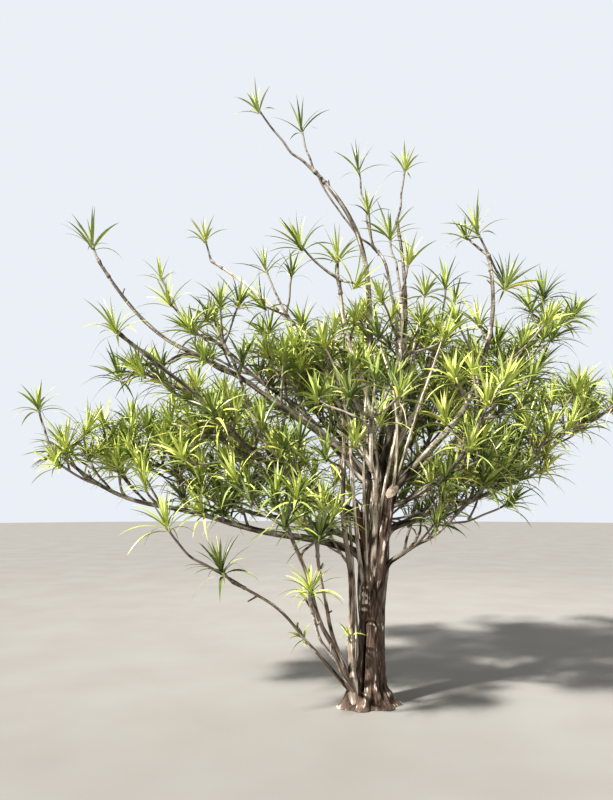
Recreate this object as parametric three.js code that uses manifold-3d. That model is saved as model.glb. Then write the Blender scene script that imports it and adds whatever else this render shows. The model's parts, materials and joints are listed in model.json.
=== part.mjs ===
// A many-stemmed dragon tree: a fluted trunk on a flared root crown, slender arching
// boughs, and tufts of strap leaves at the ends of the shoots.
// Millimetres and degrees. +Z is up and the origin is the middle of the flat cut at the
// ground. Bearings run anticlockwise seen from above: 0 is +X and 90 is +Y.
import * as THREE from "three";
import { mergeVertices } from "three/addons/utils/BufferGeometryUtils.js";
import Module from "manifold-3d";

const wasm = await Module();
wasm.setup();

const UP = new THREE.Vector3(0, 0, 1);
const GAP = 0.35; // clearance between a piece and what it grows from
const GOLDEN_ANGLE = 137.5;
const NEAR_UPRIGHT = 0.9; // the height of a unit direction that counts as upright

// The trunk's height, lean and girth, and the flutes where its stems have fused
const TRUNK = {
  height: 1900,
  leanX: 105,
  leanY: 10,
  sides: 18,
  rings: 11,
  ringBunching: 1.5, // above 1 the rings lie closer together towards the foot
  footRadius: 128,
  waistRadius: 104,
  shoulderRadius: 122,
  topRadius: 74,
  waistAt: 0.35,
  shoulderAt: 0.8,
  fluteCount: 5,
  fluteDepth: 0.07,
  fluteTwist: 40,
};

// Each root lobe swells the trunk's foot towards one bearing and dies out at its own height
const ROOT_LOBES = [
  { bearing: 192, swell: 150, width: 34, height: 330 },
  { bearing: 248, swell: 90, width: 22, height: 190 },
  { bearing: 318, swell: 95, width: 24, height: 220 },
  { bearing: 10, swell: 130, width: 26, height: 230 },
  { bearing: 75, swell: 95, width: 26, height: 200 },
  { bearing: 128, swell: 85, width: 24, height: 190 },
];

// Stems that rise beside the trunk have their feet on this ring of the root crown
const CROWN = { reach: 165, height: 120 };

// Boughs. `at` is how far along its parent a bough starts, or the bearing of its foot on
// the root crown. Its tip is given by its reach from the tree's axis, its bearing and its
// height. It leaves its parent `launch` degrees above the level and ends `rise` degrees
// above it. The last pair are its radii at root and tip.
const BOUGHS = [
  bough("top_bough", "trunk", 0.97, [410, 166, 4700], [80, 50], [46, 21]),
  bough("right_upright_bough", "trunk", 0.93, [330, 0, 4120], [76, 98], [46, 15]),
  bough("crossing_bough", "right_upright_bough", 0.42, [340, 62, 4040], [74, 46], [26, 15]),
  bough("right_arching_bough", "trunk", 0.84, [1110, 347, 3690], [42, 96], [48, 17]),
  bough("mid_left_bough", "trunk", 0.9, [2290, 188, 3620], [56, 58], [48, 14]),
  bough("left_twin_bough", "trunk", 0.88, [1690, 170, 3350], [52, 40], [42, 15]),
  bough("low_left_bough", "trunk", 0.76, [2040, 202, 2850], [22, 36], [46, 15]),
  bough("far_left_bough", "trunk", 0.6, [2560, 188, 2020], [24, 40], [44, 14]),
  bough("pale_left_bough", "trunk", 0.94, [1560, 157, 4020], [86, 38], [42, 14]),
  bough("left_inner_bough", "trunk", 0.95, [700, 163, 3300], [66, 58], [34, 16]),
  bough("centre_left_bough", "trunk", 0.91, [420, 236, 3430], [92, 80], [40, 17]),
  bough("right_inner_bough", "right_upright_bough", 0.28, [420, 315, 3330], [62, 88], [28, 15]),
  bough("right_middle_bough", "trunk", 0.95, [750, 15, 3210], [56, 72], [38, 16]),
  bough("right_far_bough", "trunk", 0.87, [1620, 7, 3100], [34, 52], [42, 15]),
  bough("right_low_bough", "trunk", 0.56, [800, 332, 1560], [30, 46], [28, 14]),
  bough("right_far_low_bough", "trunk", 0.72, [1650, 357, 2160], [20, 44], [38, 14]),
  bough("front_centre_bough", "trunk", 0.8, [900, 267, 2160], [12, 58], [34, 14]),
  bough("front_right_bough", "trunk", 0.82, [1130, 311, 2160], [14, 56], [36, 14]),
  bough("left_low_bough", "trunk", 0.66, [1740, 176, 1900], [22, 34], [36, 14]),
  bough("back_right_bough", "trunk", 0.84, [1580, 49, 2720], [36, 48], [42, 15]),
  bough("back_high_bough", "trunk", 0.92, [1150, 73, 3300], [58, 56], [42, 15]),
  bough("back_left_bough", "trunk", 0.86, [1430, 118, 3050], [48, 46], [42, 15]),
  bough("back_low_right_bough", "trunk", 0.68, [1590, 75, 1980], [20, 44], [38, 14]),
  bough("back_low_left_bough", "trunk", 0.74, [1800, 138, 2310], [24, 40], [40, 14]),
  bough("side_stem", "crown", 212, [300, 225, 2440], [86, 88], [40, 18]),
  bough("front_fan_stem", "crown", 205, [1070, 233, 1420], [50, 54], [32, 15]),
  bough("back_fan_stem", "crown", 186, [740, 234, 1260], [62, 80], [28, 14]),
  bough("left_middle_bough", "low_left_bough", 0.36, [1210, 190, 2900], [46, 60], [26, 14]),
];
// Two thin stems from the root crown, each one piece with its tuft
const LONG_STEMS = [
  bough("low_shoot", "crown", 198, [1180, 211, 1010], [42, 26], [20, 12]),
  bough("foot_shoot", "crown", 218, [850, 236, 860], [44, 66], [17, 12]),
];
const BEND = 0.4; // how far a bough keeps its launch and its rise, as a share of its chord
const WANDER = { size: 0.012, across: 9, upward: 11 }; // its share of the chord, and its two rates
const THINNING = 0.8; // below 1 a bough thins sooner than evenly
const SEGMENT = 430; // the longest straight step of a bough
const THICK = { radius: 34, sides: 6 }; // boughs thinner than this at the root have one side less

// Tufts: a mass of shoots on each bough's tip, one rosette of leaves at the end of each. The
// tufts that stand out against the sky have each rosette's reach, bearing and height.
const TUFTS = [
  tuft("top_bough", 1, [[990, 177, 5380], [590, 165, 5250]]),
  tuft("crossing_bough", 2, [[350, 90, 4930], [210, 69, 4410]]),
  tuft("right_upright_bough", 3, [[410, 0, 4730]]),
  tuft("right_arching_bough", 4, [[1010, 343, 3980], [930, 354, 4000], [1260, 353, 3520]]),
  tuft("mid_left_bough", 5, [[2400, 187, 3850]]),
  tuft("left_twin_bough", 6, [[1960, 170, 3790], [1820, 174, 3490], [1400, 182, 3250]]),
  tuft("low_left_bough", 7, [[2140, 202, 2940]]),
  tuft("far_left_bough", 8, [[2750, 187, 2410], [2280, 189, 2000]]),
  tuft("pale_left_bough", 9, [[1670, 159, 4300]]),
  tuft("left_inner_bough", 10, [[960, 162, 3860], [660, 171, 3740], [950, 168, 3450]]),
  tuft("centre_left_bough", 11, [[730, 218, 3770], [390, 230, 3720], [510, 259, 3410]]),
  tuft("right_inner_bough", 12, [[500, 316, 3670], [300, 318, 3970]]),
  tuft("right_middle_bough", 13, [[820, 14, 3660], [980, 21, 3550], [640, 351, 3120]]),
  fan("right_far_bough", 14, 5, 400, 56),
  fan("right_low_bough", 15, 3, 300, 50),
  fan("right_far_low_bough", 16, 4, 430, 56),
  fan("front_centre_bough", 17, 4, 360, 56),
  fan("front_right_bough", 18, 5, 380, 56),
  fan("left_low_bough", 19, 5, 420, 56),
  fan("back_right_bough", 20, 4, 460, 60),
  fan("back_high_bough", 21, 4, 460, 60),
  fan("back_left_bough", 22, 4, 460, 60),
  fan("back_low_right_bough", 23, 4, 440, 60),
  fan("back_low_left_bough", 24, 4, 460, 60),
  fan("side_stem", 25, 4, 400, 40),
  fan("front_fan_stem", 26, 2, 200, 46),
  fan("back_fan_stem", 27, 2, 200, 50),
  fan("left_middle_bough", 28, 5, 440, 56),
  fan("low_shoot", 29, 1, 160, 20),
  fan("foot_shoot", 30, 1, 120, 20),
];

const STEM = 70; // the length of a tuft's common stem
const SHOOT = { root: 12, waist: 9, heart: 24, rings: 3 }; // radii along a shoot, and its steps
const FAN = { turnScatter: 30, lean: [0.55, 1.15], length: [0.7, 1.05] }; // shares of spread and reach
const SHOOT_RISE = 0.35; // how far the shoots of a fan turn upwards, as a share of their length
const SHOOT_SAG = 0.12; // how far a shoot's middle hangs below its chord, as a share of its length
// One leaf stands for about four of the real ones, so it is wider than life
const LEAF = { length: 305, width: 62, thick: 7, bendAt: 0.45, droop: 34 };
const LEAF_COUNT = { placed: 6, fanned: 5 }; // leaves of a rosette with a stated place, or in a fan
const LEAF_SPREAD = { inner: 14, outer: 104 }; // the leaves' angles from their shoot's line
const LEAF_ROOTS = { top: 5, span: 50, out: 6 }; // below the shoot's end, and off its line
const LEAF_CLEARANCE = 12; // from any limb's bark
const LEAF_SEEDS = 1000; // keeps the leaves' chances apart from the shoots'
const SPACE_MARGIN = 6; // half the least distance between two tufts

// Finishes
const BARK = { color: "#8a7868", roughness: 0.92, metalness: 0 };
const PALE_BARK = { color: "#a3968a", roughness: 0.88, metalness: 0 };
const FOLIAGE = { color: "#7f9a34", roughness: 0.5, metalness: 0 };

function bough(name, from, at, [reach, bearing, height], [launch, rise], [root, end]) {
  return { name, from, at, reach, bearing, height, launch, rise, root, end };
}

function tuft(on, seed, rosettes) {
  return { name: on.replace(/_(bough|stem|shoot)$/, "") + "_tuft", on, seed, rosettes };
}

// A tuft whose shoots fan out by their seed: how many, how long and how wide they spread
function fan(on, seed, shoots, reach, spread) {
  return { ...tuft(on, seed), shoots, reach, spread };
}

// A repeatable stream of numbers from 0 to 1
function seeded(seed) {
  let state = (seed * 2654435761) >>> 0;
  return () => {
    state = (Math.imul(state, 1664525) + 1013904223) >>> 0;
    return state / 4294967296;
  };
}

const radians = (degrees) => THREE.MathUtils.degToRad(degrees);

function polar(reach, bearing, height) {
  return new THREE.Vector3(reach * Math.cos(radians(bearing)), reach * Math.sin(radians(bearing)), height);
}

// A direction with the heading of `along` and `lift` degrees above the level
function lifted(along, lift) {
  const level = new THREE.Vector3(along.x, along.y, 0).normalize();
  return level.multiplyScalar(Math.cos(radians(lift))).addScaledVector(UP, Math.sin(radians(lift)));
}

// Smooth steps between radii given at several places along a length
function girthBetween(stops, t) {
  const next = stops.findIndex(([place]) => t <= place);
  if (next <= 0) return stops[next === 0 ? 0 : stops.length - 1][1];
  const [[t0, r0], [t1, r1]] = [stops[next - 1], stops[next]];
  return THREE.MathUtils.lerp(r0, r1, THREE.MathUtils.smoothstep(t, t0, t1));
}

function trunkCurve() {
  const top = new THREE.Vector3(TRUNK.leanX, TRUNK.leanY, TRUNK.height);
  const low = new THREE.Vector3(0, 0, TRUNK.height / 3);
  const high = new THREE.Vector3(TRUNK.leanX * 0.75, TRUNK.leanY * 0.75, (TRUNK.height * 2) / 3);
  return new THREE.CubicBezierCurve3(new THREE.Vector3(0, 0, 0), low, high, top);
}

function trunkRadius(t, angle) {
  const height = t * TRUNK.height;
  const stops = [
    [0, TRUNK.footRadius],
    [TRUNK.waistAt, TRUNK.waistRadius],
    [TRUNK.shoulderAt, TRUNK.shoulderRadius],
    [1, TRUNK.topRadius],
  ];
  const turned = angle + radians(TRUNK.fluteTwist) * t;
  const flute = 1 + TRUNK.fluteDepth * Math.cos(TRUNK.fluteCount * turned);
  let radius = girthBetween(stops, t) * flute;
  for (const lobe of ROOT_LOBES) {
    const turn = angle - radians(lobe.bearing) + Math.PI;
    const off = THREE.MathUtils.euclideanModulo(turn, 2 * Math.PI) - Math.PI;
    const fade = Math.max(0, 1 - height / lobe.height);
    radius += lobe.swell * Math.exp(-((off / radians(lobe.width)) ** 2)) * fade * fade;
  }
  return radius;
}

// A bough's curve, with a slow wander in the level plane and up and down
class BoughCurve extends THREE.Curve {
  constructor(root, tip, row, phase) {
    super();
    const chord = tip.clone().sub(root);
    const hold = BEND * chord.length();
    this.wander = WANDER.size * chord.length();
    this.side = new THREE.Vector3().crossVectors(UP, lifted(chord, 0));
    this.phase = phase;
    this.base = new THREE.CubicBezierCurve3(
      root,
      root.clone().addScaledVector(lifted(chord, row.launch), hold),
      tip.clone().addScaledVector(lifted(chord, row.rise), -hold),
      tip,
    );
  }

  getPoint(t, target = new THREE.Vector3()) {
    const swing = this.wander * Math.sin(Math.PI * t);
    this.base.getPoint(t, target);
    target.addScaledVector(this.side, swing * Math.sin(WANDER.across * t + this.phase));
    return target.addScaledVector(UP, swing * Math.sin(WANDER.upward * t + 2 * this.phase));
  }
}

// Every limb of the tree by name: its curve, its radius along it and its phase
function growLimbs() {
  const limbs = new Map();
  const { sides, rings, ringBunching } = TRUNK;
  limbs.set("trunk", { curve: trunkCurve(), radius: trunkRadius, sides, rings, bunching: ringBunching });
  [...BOUGHS, ...LONG_STEMS].forEach((row, index) => {
    const root =
      row.from === "crown"
        ? polar(CROWN.reach, row.at, CROWN.height)
        : limbs.get(row.from).curve.getPoint(row.at);
    const tip = polar(row.reach, row.bearing, row.height);
    const curve = new BoughCurve(root, tip, row, index);
    limbs.set(row.name, {
      curve,
      radius: (t) => THREE.MathUtils.lerp(row.root, row.end, Math.pow(t, THINNING)),
      sides: row.root > THICK.radius ? THICK.sides : THICK.sides - 1,
      rings: Math.ceil(root.distanceTo(tip) / SEGMENT) + 1,
    });
  });
  return limbs;
}

// A closed cylinder bent along a curve, with its radius given at each place along it
function bentCylinder(curve, radius, sides, rings, grown = 0, bunching = 1) {
  const geometry = new THREE.CylinderGeometry(1, 1, 1, sides, rings);
  const position = geometry.getAttribute("position");
  const frames = levelFrames(curve, rings, bunching);
  frames[0].at.addScaledVector(curve.getTangent(0), -grown);
  frames[rings].at.addScaledVector(curve.getTangent(1), grown);
  for (let i = 0; i < position.count; i++) {
    const ring = Math.round((position.getY(i) + 0.5) * rings);
    const { t, at, across, along } = frames[ring];
    const [x, y] = [position.getX(i), -position.getZ(i)];
    const far = Math.hypot(x, y) < 0.5 ? 0 : radius(t, Math.atan2(y, x)) + grown;
    const shift = at.clone().addScaledVector(across, x * far).addScaledVector(along, y * far);
    position.setXYZ(i, shift.x, shift.y, shift.z);
  }
  return solidOf(geometry);
}

// Ring frames along a curve that turn as little as they can, and that start out along X and Y
function levelFrames(curve, rings, bunching) {
  const frames = [];
  let across = new THREE.Vector3(1, 0, 0);
  for (let ring = 0; ring <= rings; ring++) {
    const t = Math.pow(ring / rings, bunching);
    const ahead = curve.getTangent(t);
    if (Math.abs(ahead.dot(across)) > NEAR_UPRIGHT) across = new THREE.Vector3(0, 1, 0);
    across = across.clone().addScaledVector(ahead, -across.dot(ahead)).normalize();
    const along = new THREE.Vector3().crossVectors(ahead, across);
    frames.push({ t, at: curve.getPoint(t), across, along });
  }
  return frames;
}

function solidOf(geometry) {
  geometry.deleteAttribute("normal");
  geometry.deleteAttribute("uv");
  const merged = mergeVertices(geometry, 1e-3);
  return new wasm.Manifold(
    new wasm.Mesh({
      numProp: 3,
      vertProperties: new Float32Array(merged.getAttribute("position").array),
      triVerts: new Uint32Array(merged.index.array),
    }),
  );
}

function geometryOf(solid) {
  const { vertProperties, triVerts } = solid.getMesh();
  const geometry = new THREE.BufferGeometry();
  geometry.setAttribute("position", new THREE.BufferAttribute(vertProperties, 3));
  geometry.setIndex(new THREE.BufferAttribute(triVerts, 1));
  return geometry;
}

function largestPiece(solid) {
  return solid.decompose().sort((a, b) => b.volume() - a.volume())[0];
}

function limbSolid({ curve, radius, sides, rings, bunching }, grown) {
  return bentCylinder(curve, radius, sides, rings, grown, bunching);
}

// The limbs' solids, each cut back from all those before it so that it seats on them
function limbSolids(limbs) {
  const solids = new Map();
  const grownBefore = [];
  for (const [name, limb] of limbs) {
    const plain = limbSolid(limb, 0);
    const cut = grownBefore.length ? plain.subtract(wasm.Manifold.union(grownBefore)) : plain;
    solids.set(name, largestPiece(cut));
    grownBefore.push(limbSolid(limb, GAP));
  }
  return solids;
}

// The places of a tuft's rosettes, dealt out round the line of its bough by its seed
function fannedRosettes(row, forkedAt, line) {
  const random = seeded(row.seed);
  const side = new THREE.Vector3().crossVectors(line, UP).normalize();
  const firstTurn = 360 * random();
  return Array.from({ length: row.shoots }, (_, i) => {
    const turn = firstTurn + GOLDEN_ANGLE * i + FAN.turnScatter * (random() - 0.5);
    const lean = row.spread * THREE.MathUtils.lerp(...FAN.lean, random());
    const length = row.reach * THREE.MathUtils.lerp(...FAN.length, random());
    const heading = line.clone().applyAxisAngle(side, radians(lean)).applyAxisAngle(line, radians(turn));
    const lift = SHOOT_RISE * length * (1 - heading.z);
    return forkedAt.clone().addScaledVector(heading, length).addScaledVector(UP, lift);
  });
}

// The shoots of one tuft: a short common stem and the curved shoots that fan out of it
function growShoots(row, limb, onePiece) {
  const line = limb.curve.getTangent(1);
  const start = limb.curve.getPoint(1).addScaledVector(line, onePiece ? -SHOOT.root : GAP);
  const forkedAt = start.clone().addScaledVector(line, STEM);
  const placed = row.rosettes?.map((place) => polar(...place));
  const ends = placed ?? fannedRosettes(row, forkedAt, line);
  const shoots = ends.map((end) => {
    const middle = forkedAt.clone().lerp(end, 0.5);
    middle.z -= SHOOT_SAG * forkedAt.distanceTo(end);
    return { start: forkedAt, middle, end };
  });
  return [{ start, middle: start.clone().lerp(forkedAt, 0.5), end: forkedAt, stem: true }, ...shoots];
}

function shootCurve({ start, middle, end }) {
  return new THREE.QuadraticBezierCurve3(start, middle, end);
}

// The middle of a tuft's rosettes, about which it has its space
function tuftCentre(shoots) {
  const ends = shoots.filter((shoot) => !shoot.stem).map((shoot) => shoot.end);
  const sum = ends.reduce((total, end) => total.add(end), new THREE.Vector3());
  return sum.divideScalar(ends.length);
}

// A point is in a tuft's space while it is nearer to that tuft's centre than to any other
function inSpace(point, own, centres) {
  return centres.every((other) => {
    if (other === own) return true;
    const away = other.clone().sub(own);
    const middle = own.clone().add(other).multiplyScalar(0.5);
    return point.clone().sub(middle).dot(away.normalize()) < -SPACE_MARGIN;
  });
}

// How far a point lies from the nearest limb's bark
function limbClearance(point, lines) {
  return Math.min(
    ...lines.map(({ line, radius }) => {
      const nearest = line.closestPointToPoint(point, true, new THREE.Vector3());
      return nearest.distanceTo(point) - radius;
    }),
  );
}

// Each limb as short straight lines with the larger radius of their two ends
function limbLines(limbs) {
  const lines = [];
  const trunkReach = TRUNK.shoulderRadius * (1 + TRUNK.fluteDepth);
  for (const [name, limb] of limbs) {
    const steps = limb.rings * 2;
    for (let i = 0; i < steps; i++) {
      const [from, to] = [limb.curve.getPoint(i / steps), limb.curve.getPoint((i + 1) / steps)];
      const radius = name === "trunk" ? trunkReach : limb.radius(i / steps);
      lines.push({ line: new THREE.Line3(from, to), radius });
    }
  }
  return lines;
}

// A leaf: an octahedron drawn out along its length, with its waist where the leaf bends
function leafPoints(root, axis, turn, spread) {
  const level = Math.abs(axis.z) > NEAR_UPRIGHT ? new THREE.Vector3(1, 0, 0) : UP;
  const side = new THREE.Vector3().crossVectors(axis, level).normalize();
  side.applyAxisAngle(axis, radians(turn));
  const heading = axis.clone().applyAxisAngle(side, radians(spread));
  const normal = new THREE.Vector3().crossVectors(heading, side);
  const outward = new THREE.Vector3().crossVectors(side, axis);
  root.addScaledVector(outward, LEAF_ROOTS.out);
  const middle = root.clone().addScaledVector(heading, LEAF.length * LEAF.bendAt);
  const droop = LEAF.droop * Math.hypot(heading.x, heading.y);
  const fall = lifted(heading, THREE.MathUtils.radToDeg(Math.asin(heading.z)) - droop);
  const tip = middle.clone().addScaledVector(fall, LEAF.length * (1 - LEAF.bendAt));
  return { root, tip, middle, side, normal };
}

function leafSolid({ root, tip, middle, side, normal }) {
  const geometry = new THREE.OctahedronGeometry(1);
  const position = geometry.getAttribute("position");
  for (let i = 0; i < position.count; i++) {
    const [x, y, z] = [position.getX(i), position.getY(i), position.getZ(i)];
    const point = Math.abs(x) < 0.5 ? middle.clone() : (x < 0 ? root : tip).clone();
    point.addScaledVector(side, (y * LEAF.width) / 2).addScaledVector(normal, (z * LEAF.thick) / 2);
    position.setXYZ(i, point.x, point.y, point.z);
  }
  return solidOf(geometry);
}

function leafFits(leaf, centre, centres, lines) {
  const half = LEAF.width / 2;
  const waist = [-half, half].map((off) => leaf.middle.clone().addScaledVector(leaf.side, off));
  const outline = [leaf.root, leaf.tip, ...waist];
  const along = [0.25, 0.5, 0.75].map((t) => leaf.middle.clone().lerp(leaf.tip, t));
  return (
    outline.every((point) => inSpace(point, centre, centres)) &&
    limbClearance(leaf.middle, lines) > half &&
    [leaf.tip, ...waist, ...along].every((point) => limbClearance(point, lines) > LEAF_CLEARANCE)
  );
}

// A shoot's radius thins to its waist and swells into the heart that its leaves grow from
function shootRadius(t) {
  const waistAt = 1 - 1 / SHOOT.rings;
  const thin = THREE.MathUtils.lerp(SHOOT.root, SHOOT.waist, t / waistAt);
  return t > waistAt ? SHOOT.heart : thin;
}

// One tuft: its shoots and the leaves that fit, fused into one solid
function tuftSolid(row, shoots, centre, centres, lines) {
  const pieces = [];
  const random = seeded(row.seed + LEAF_SEEDS);
  const count = row.rosettes ? LEAF_COUNT.placed : LEAF_COUNT.fanned;
  for (const shoot of shoots) {
    const curve = shootCurve(shoot);
    if (shoot.stem) {
      pieces.push(bentCylinder(curve, () => SHOOT.root, 3, 1));
      continue;
    }
    pieces.push(bentCylinder(curve, shootRadius, 3, SHOOT.rings));
    const axis = curve.getTangent(1);
    const firstTurn = 360 * random();
    for (let i = 0; i < count; i++) {
      const share = i / (count - 1);
      const spread = THREE.MathUtils.lerp(LEAF_SPREAD.inner, LEAF_SPREAD.outer, share);
      const leafRoot = shoot.end.clone().addScaledVector(axis, -LEAF_ROOTS.top - LEAF_ROOTS.span * share);
      const leaf = leafPoints(leafRoot, axis, firstTurn + GOLDEN_ANGLE * i, spread);
      if (leafFits(leaf, centre, centres, lines)) pieces.push(leafSolid(leaf));
    }
  }
  return largestPiece(wasm.Manifold.union(pieces));
}

function named(name, solid, finish) {
  const mesh = new THREE.Mesh(geometryOf(solid), new THREE.MeshStandardMaterial(finish));
  mesh.name = name;
  return mesh;
}

function buildTree() {
  const tree = new THREE.Group();
  const limbs = growLimbs();
  const solids = limbSolids(limbs);
  const onePiece = new Set(LONG_STEMS.map((row) => row.name));
  for (const [name, solid] of solids) {
    if (!onePiece.has(name)) tree.add(named(name, solid, name === "trunk" ? BARK : PALE_BARK));
  }
  const lines = limbLines(limbs);
  const grown = TUFTS.map((row) => growShoots(row, limbs.get(row.on), onePiece.has(row.on)));
  const centres = grown.map(tuftCentre);
  TUFTS.forEach((row, i) => {
    const tuftOnly = tuftSolid(row, grown[i], centres[i], centres, lines);
    const whole = onePiece.has(row.on) ? largestPiece(tuftOnly.add(solids.get(row.on))) : tuftOnly;
    tree.add(named(row.name, whole, FOLIAGE));
  });
  return tree;
}

export default buildTree();
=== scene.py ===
"""The dressed model of a many-stemmed dragon tree.

The limbs and tufts grow here by the same rule as in the solids. The rule is then carried on to finer
shoots, to the rings that fallen leaves leave on the bark, and to strap leaves in their own outline.
Metres, +Z up, bearings in degrees anticlockwise from +X. Sizes in the tables are millimetres.
"""

import json
import logging
import math
from dataclasses import dataclass, field
from enum import Enum, IntEnum
from typing import Iterable, Mapping, Sequence

import bpy
import numpy as np
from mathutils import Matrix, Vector
from mathutils.kdtree import KDTree

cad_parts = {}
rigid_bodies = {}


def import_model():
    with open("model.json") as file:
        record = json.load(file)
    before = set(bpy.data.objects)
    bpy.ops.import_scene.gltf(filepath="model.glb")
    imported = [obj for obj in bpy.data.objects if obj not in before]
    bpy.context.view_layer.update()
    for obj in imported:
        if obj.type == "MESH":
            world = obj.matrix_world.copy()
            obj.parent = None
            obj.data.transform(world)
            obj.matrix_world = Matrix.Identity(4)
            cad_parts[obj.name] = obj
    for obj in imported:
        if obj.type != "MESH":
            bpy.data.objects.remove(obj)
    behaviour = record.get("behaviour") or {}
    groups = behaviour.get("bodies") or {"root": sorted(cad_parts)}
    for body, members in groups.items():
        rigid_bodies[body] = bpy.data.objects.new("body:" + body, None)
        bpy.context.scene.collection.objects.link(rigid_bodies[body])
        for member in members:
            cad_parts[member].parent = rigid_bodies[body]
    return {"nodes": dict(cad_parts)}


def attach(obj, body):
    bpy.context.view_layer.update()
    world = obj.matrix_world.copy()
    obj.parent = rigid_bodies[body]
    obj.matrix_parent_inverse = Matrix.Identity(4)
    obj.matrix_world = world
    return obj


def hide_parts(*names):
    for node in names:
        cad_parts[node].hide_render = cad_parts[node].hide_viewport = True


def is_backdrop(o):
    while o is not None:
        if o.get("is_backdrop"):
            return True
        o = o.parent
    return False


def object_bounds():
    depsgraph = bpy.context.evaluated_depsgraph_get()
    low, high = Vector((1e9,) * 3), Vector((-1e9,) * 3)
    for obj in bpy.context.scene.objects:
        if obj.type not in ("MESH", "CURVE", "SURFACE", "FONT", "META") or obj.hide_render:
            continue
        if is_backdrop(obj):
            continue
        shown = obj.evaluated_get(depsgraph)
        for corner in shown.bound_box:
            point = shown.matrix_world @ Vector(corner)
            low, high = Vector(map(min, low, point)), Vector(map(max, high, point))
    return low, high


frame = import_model()

log = logging.getLogger("dragon_tree")

MM = 0.001
UP = np.array([0.0, 0.0, 1.0])
EAST = np.array([1.0, 0.0, 0.0])
NORTH = np.array([0.0, 1.0, 0.0])
GOLDEN_ANGLE = 137.5
# How far a tuft's stem starts off its bough's tip
GAP = 0.35 * MM
# A direction this upright is turned against the level instead of against the vertical
NEAR_UPRIGHT = 0.9
# The relief in the middle of a limb's closed ends
END_RELIEF = 0.3
MOST_TRIANGLES = 190_000

# Corners, grain, relief, quads and triangles of one part. The grain of a corner is its place in the
# part's own unrolled form: across, through and along it, in metres. The relief is 0 in the deepest
# groove and 1 on the highest ridge.
Skin = tuple[np.ndarray, np.ndarray, np.ndarray, np.ndarray, np.ndarray]
Numbers = np.ndarray | float
Pieces = list[bpy.types.Object]
Socket = bpy.types.NodeSocket
Triple = tuple[float, float, float]


class Seed(IntEnum):
    """Where the seeds of each kind of part begin. Bark and shoots may share one: they draw apart."""

    BOUGH_BARK = 100
    UPRIGHT_BARK = 700
    STUB_BARK = 900
    STUB_FACE = 901
    PEELED_STRIP = 951
    SHOOT_BARK = 2000
    SHOOT_KINKS = 3000
    FORKS = 3000
    LIMB_SHOOTS = 5000
    FACE_ROSETTES = 7000
    BACK_ROSETTES = 7300
    UPRIGHT_STEMS = 7500
    SPURS = 8000
    DEAD_STUBS = 9000
    ROSETTES = 50_000
    LIMB_ROSETTES = 60_000
    LEAVES = 90_000


# Small sums on directions and places


def unit(vectors: np.ndarray) -> np.ndarray:
    """Brings one vector, or rows of them, to length one."""
    return vectors / np.maximum(np.linalg.norm(vectors, axis=-1, keepdims=True), 1e-12)


def turned(vectors: np.ndarray, axes: np.ndarray, degrees: Numbers) -> np.ndarray:
    """Turns vectors about axes of length one, right-handed.

    Args:
        vectors: One vector or rows of them.
        axes: One axis or a row for each vector.
        degrees: One angle or one for each vector.

    Returns:
        The turned vectors.
    """
    angle = np.radians(np.asarray(degrees, float))[..., None]
    along = np.sum(vectors * axes, axis=-1, keepdims=True)
    across = np.cross(axes, vectors)
    return vectors * np.cos(angle) + across * np.sin(angle) + axes * along * (1 - np.cos(angle))


def polar(reach: float, bearing: float, height: float) -> np.ndarray:
    """Gives the place at a reach and a height in millimetres and a bearing in degrees."""
    angle = math.radians(bearing)
    return np.array([reach * math.cos(angle), reach * math.sin(angle), height]) * MM


def lifted(along: np.ndarray, lift: float) -> np.ndarray:
    """Gives the direction that keeps a vector's heading and rises at an angle in degrees."""
    level = unit(np.array([along[0], along[1], 0.0]))
    return level * math.cos(math.radians(lift)) + UP * math.sin(math.radians(lift))


def leaning(ahead: np.ndarray, lean: float, turn: float) -> np.ndarray:
    """Leans a direction over by some degrees, to the side that a turn about it in degrees gives."""
    side = unit(np.cross(ahead, UP))
    return turned(turned(ahead, side, lean), ahead, turn)


def blend(low: Numbers, high: Numbers, share: Numbers) -> Numbers:
    """Goes evenly from the low value at share 0 to the high one at share 1."""
    return low + (high - low) * share


def eased(values: Numbers, low: float, high: float) -> np.ndarray:
    """Rises smoothly from 0 where values reach the low one to 1 where they reach the high one."""
    share = np.clip((np.asarray(values, float) - low) / (high - low), 0.0, 1.0)
    return share * share * (3 - 2 * share)


def bell(values: np.ndarray, width: float) -> np.ndarray:
    """Falls smoothly on both sides of 0, from 1 to about a third at the width."""
    return np.exp(-((values / width) ** 2))


def off_bearing(angle: np.ndarray, bearing: float) -> np.ndarray:
    """Gives how many radians angles lie off a bearing in degrees, from -pi to pi."""
    return np.mod(angle - math.radians(bearing) + math.pi, 2 * math.pi) - math.pi


def round_angles(sides: int) -> np.ndarray:
    """Gives the angles in radians of the corners round a ring."""
    return 2 * math.pi * np.arange(sides) / sides


def unrolled(distance: np.ndarray, sides: int) -> Sequence[np.ndarray]:
    """Gives the distance and the angle of each corner of a limb, a row for each ring."""
    return np.meshgrid(distance, round_angles(sides), indexing="ij")


class SeededStream:
    """A repeatable stream of numbers, the one that the solids grow by."""

    SPREAD, FACTOR, STEP, RANGE = 2654435761, 1664525, 1013904223, 2**32

    def __init__(self, seed: int, skipped: int = 0) -> None:
        """Starts the stream.

        Args:
            seed: Any whole number.
            skipped: How many numbers are passed over, because close seeds begin alike.
        """
        self.state = (seed * self.SPREAD) % self.RANGE
        for _ in range(skipped):
            self.draw()

    def draw(self, low: float = 0.0, high: float = 1.0) -> float:
        """Gives the next number between a least and a greatest value."""
        self.state = (self.state * self.FACTOR + self.STEP) % self.RANGE
        return low + (high - low) * self.state / self.RANGE


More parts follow.
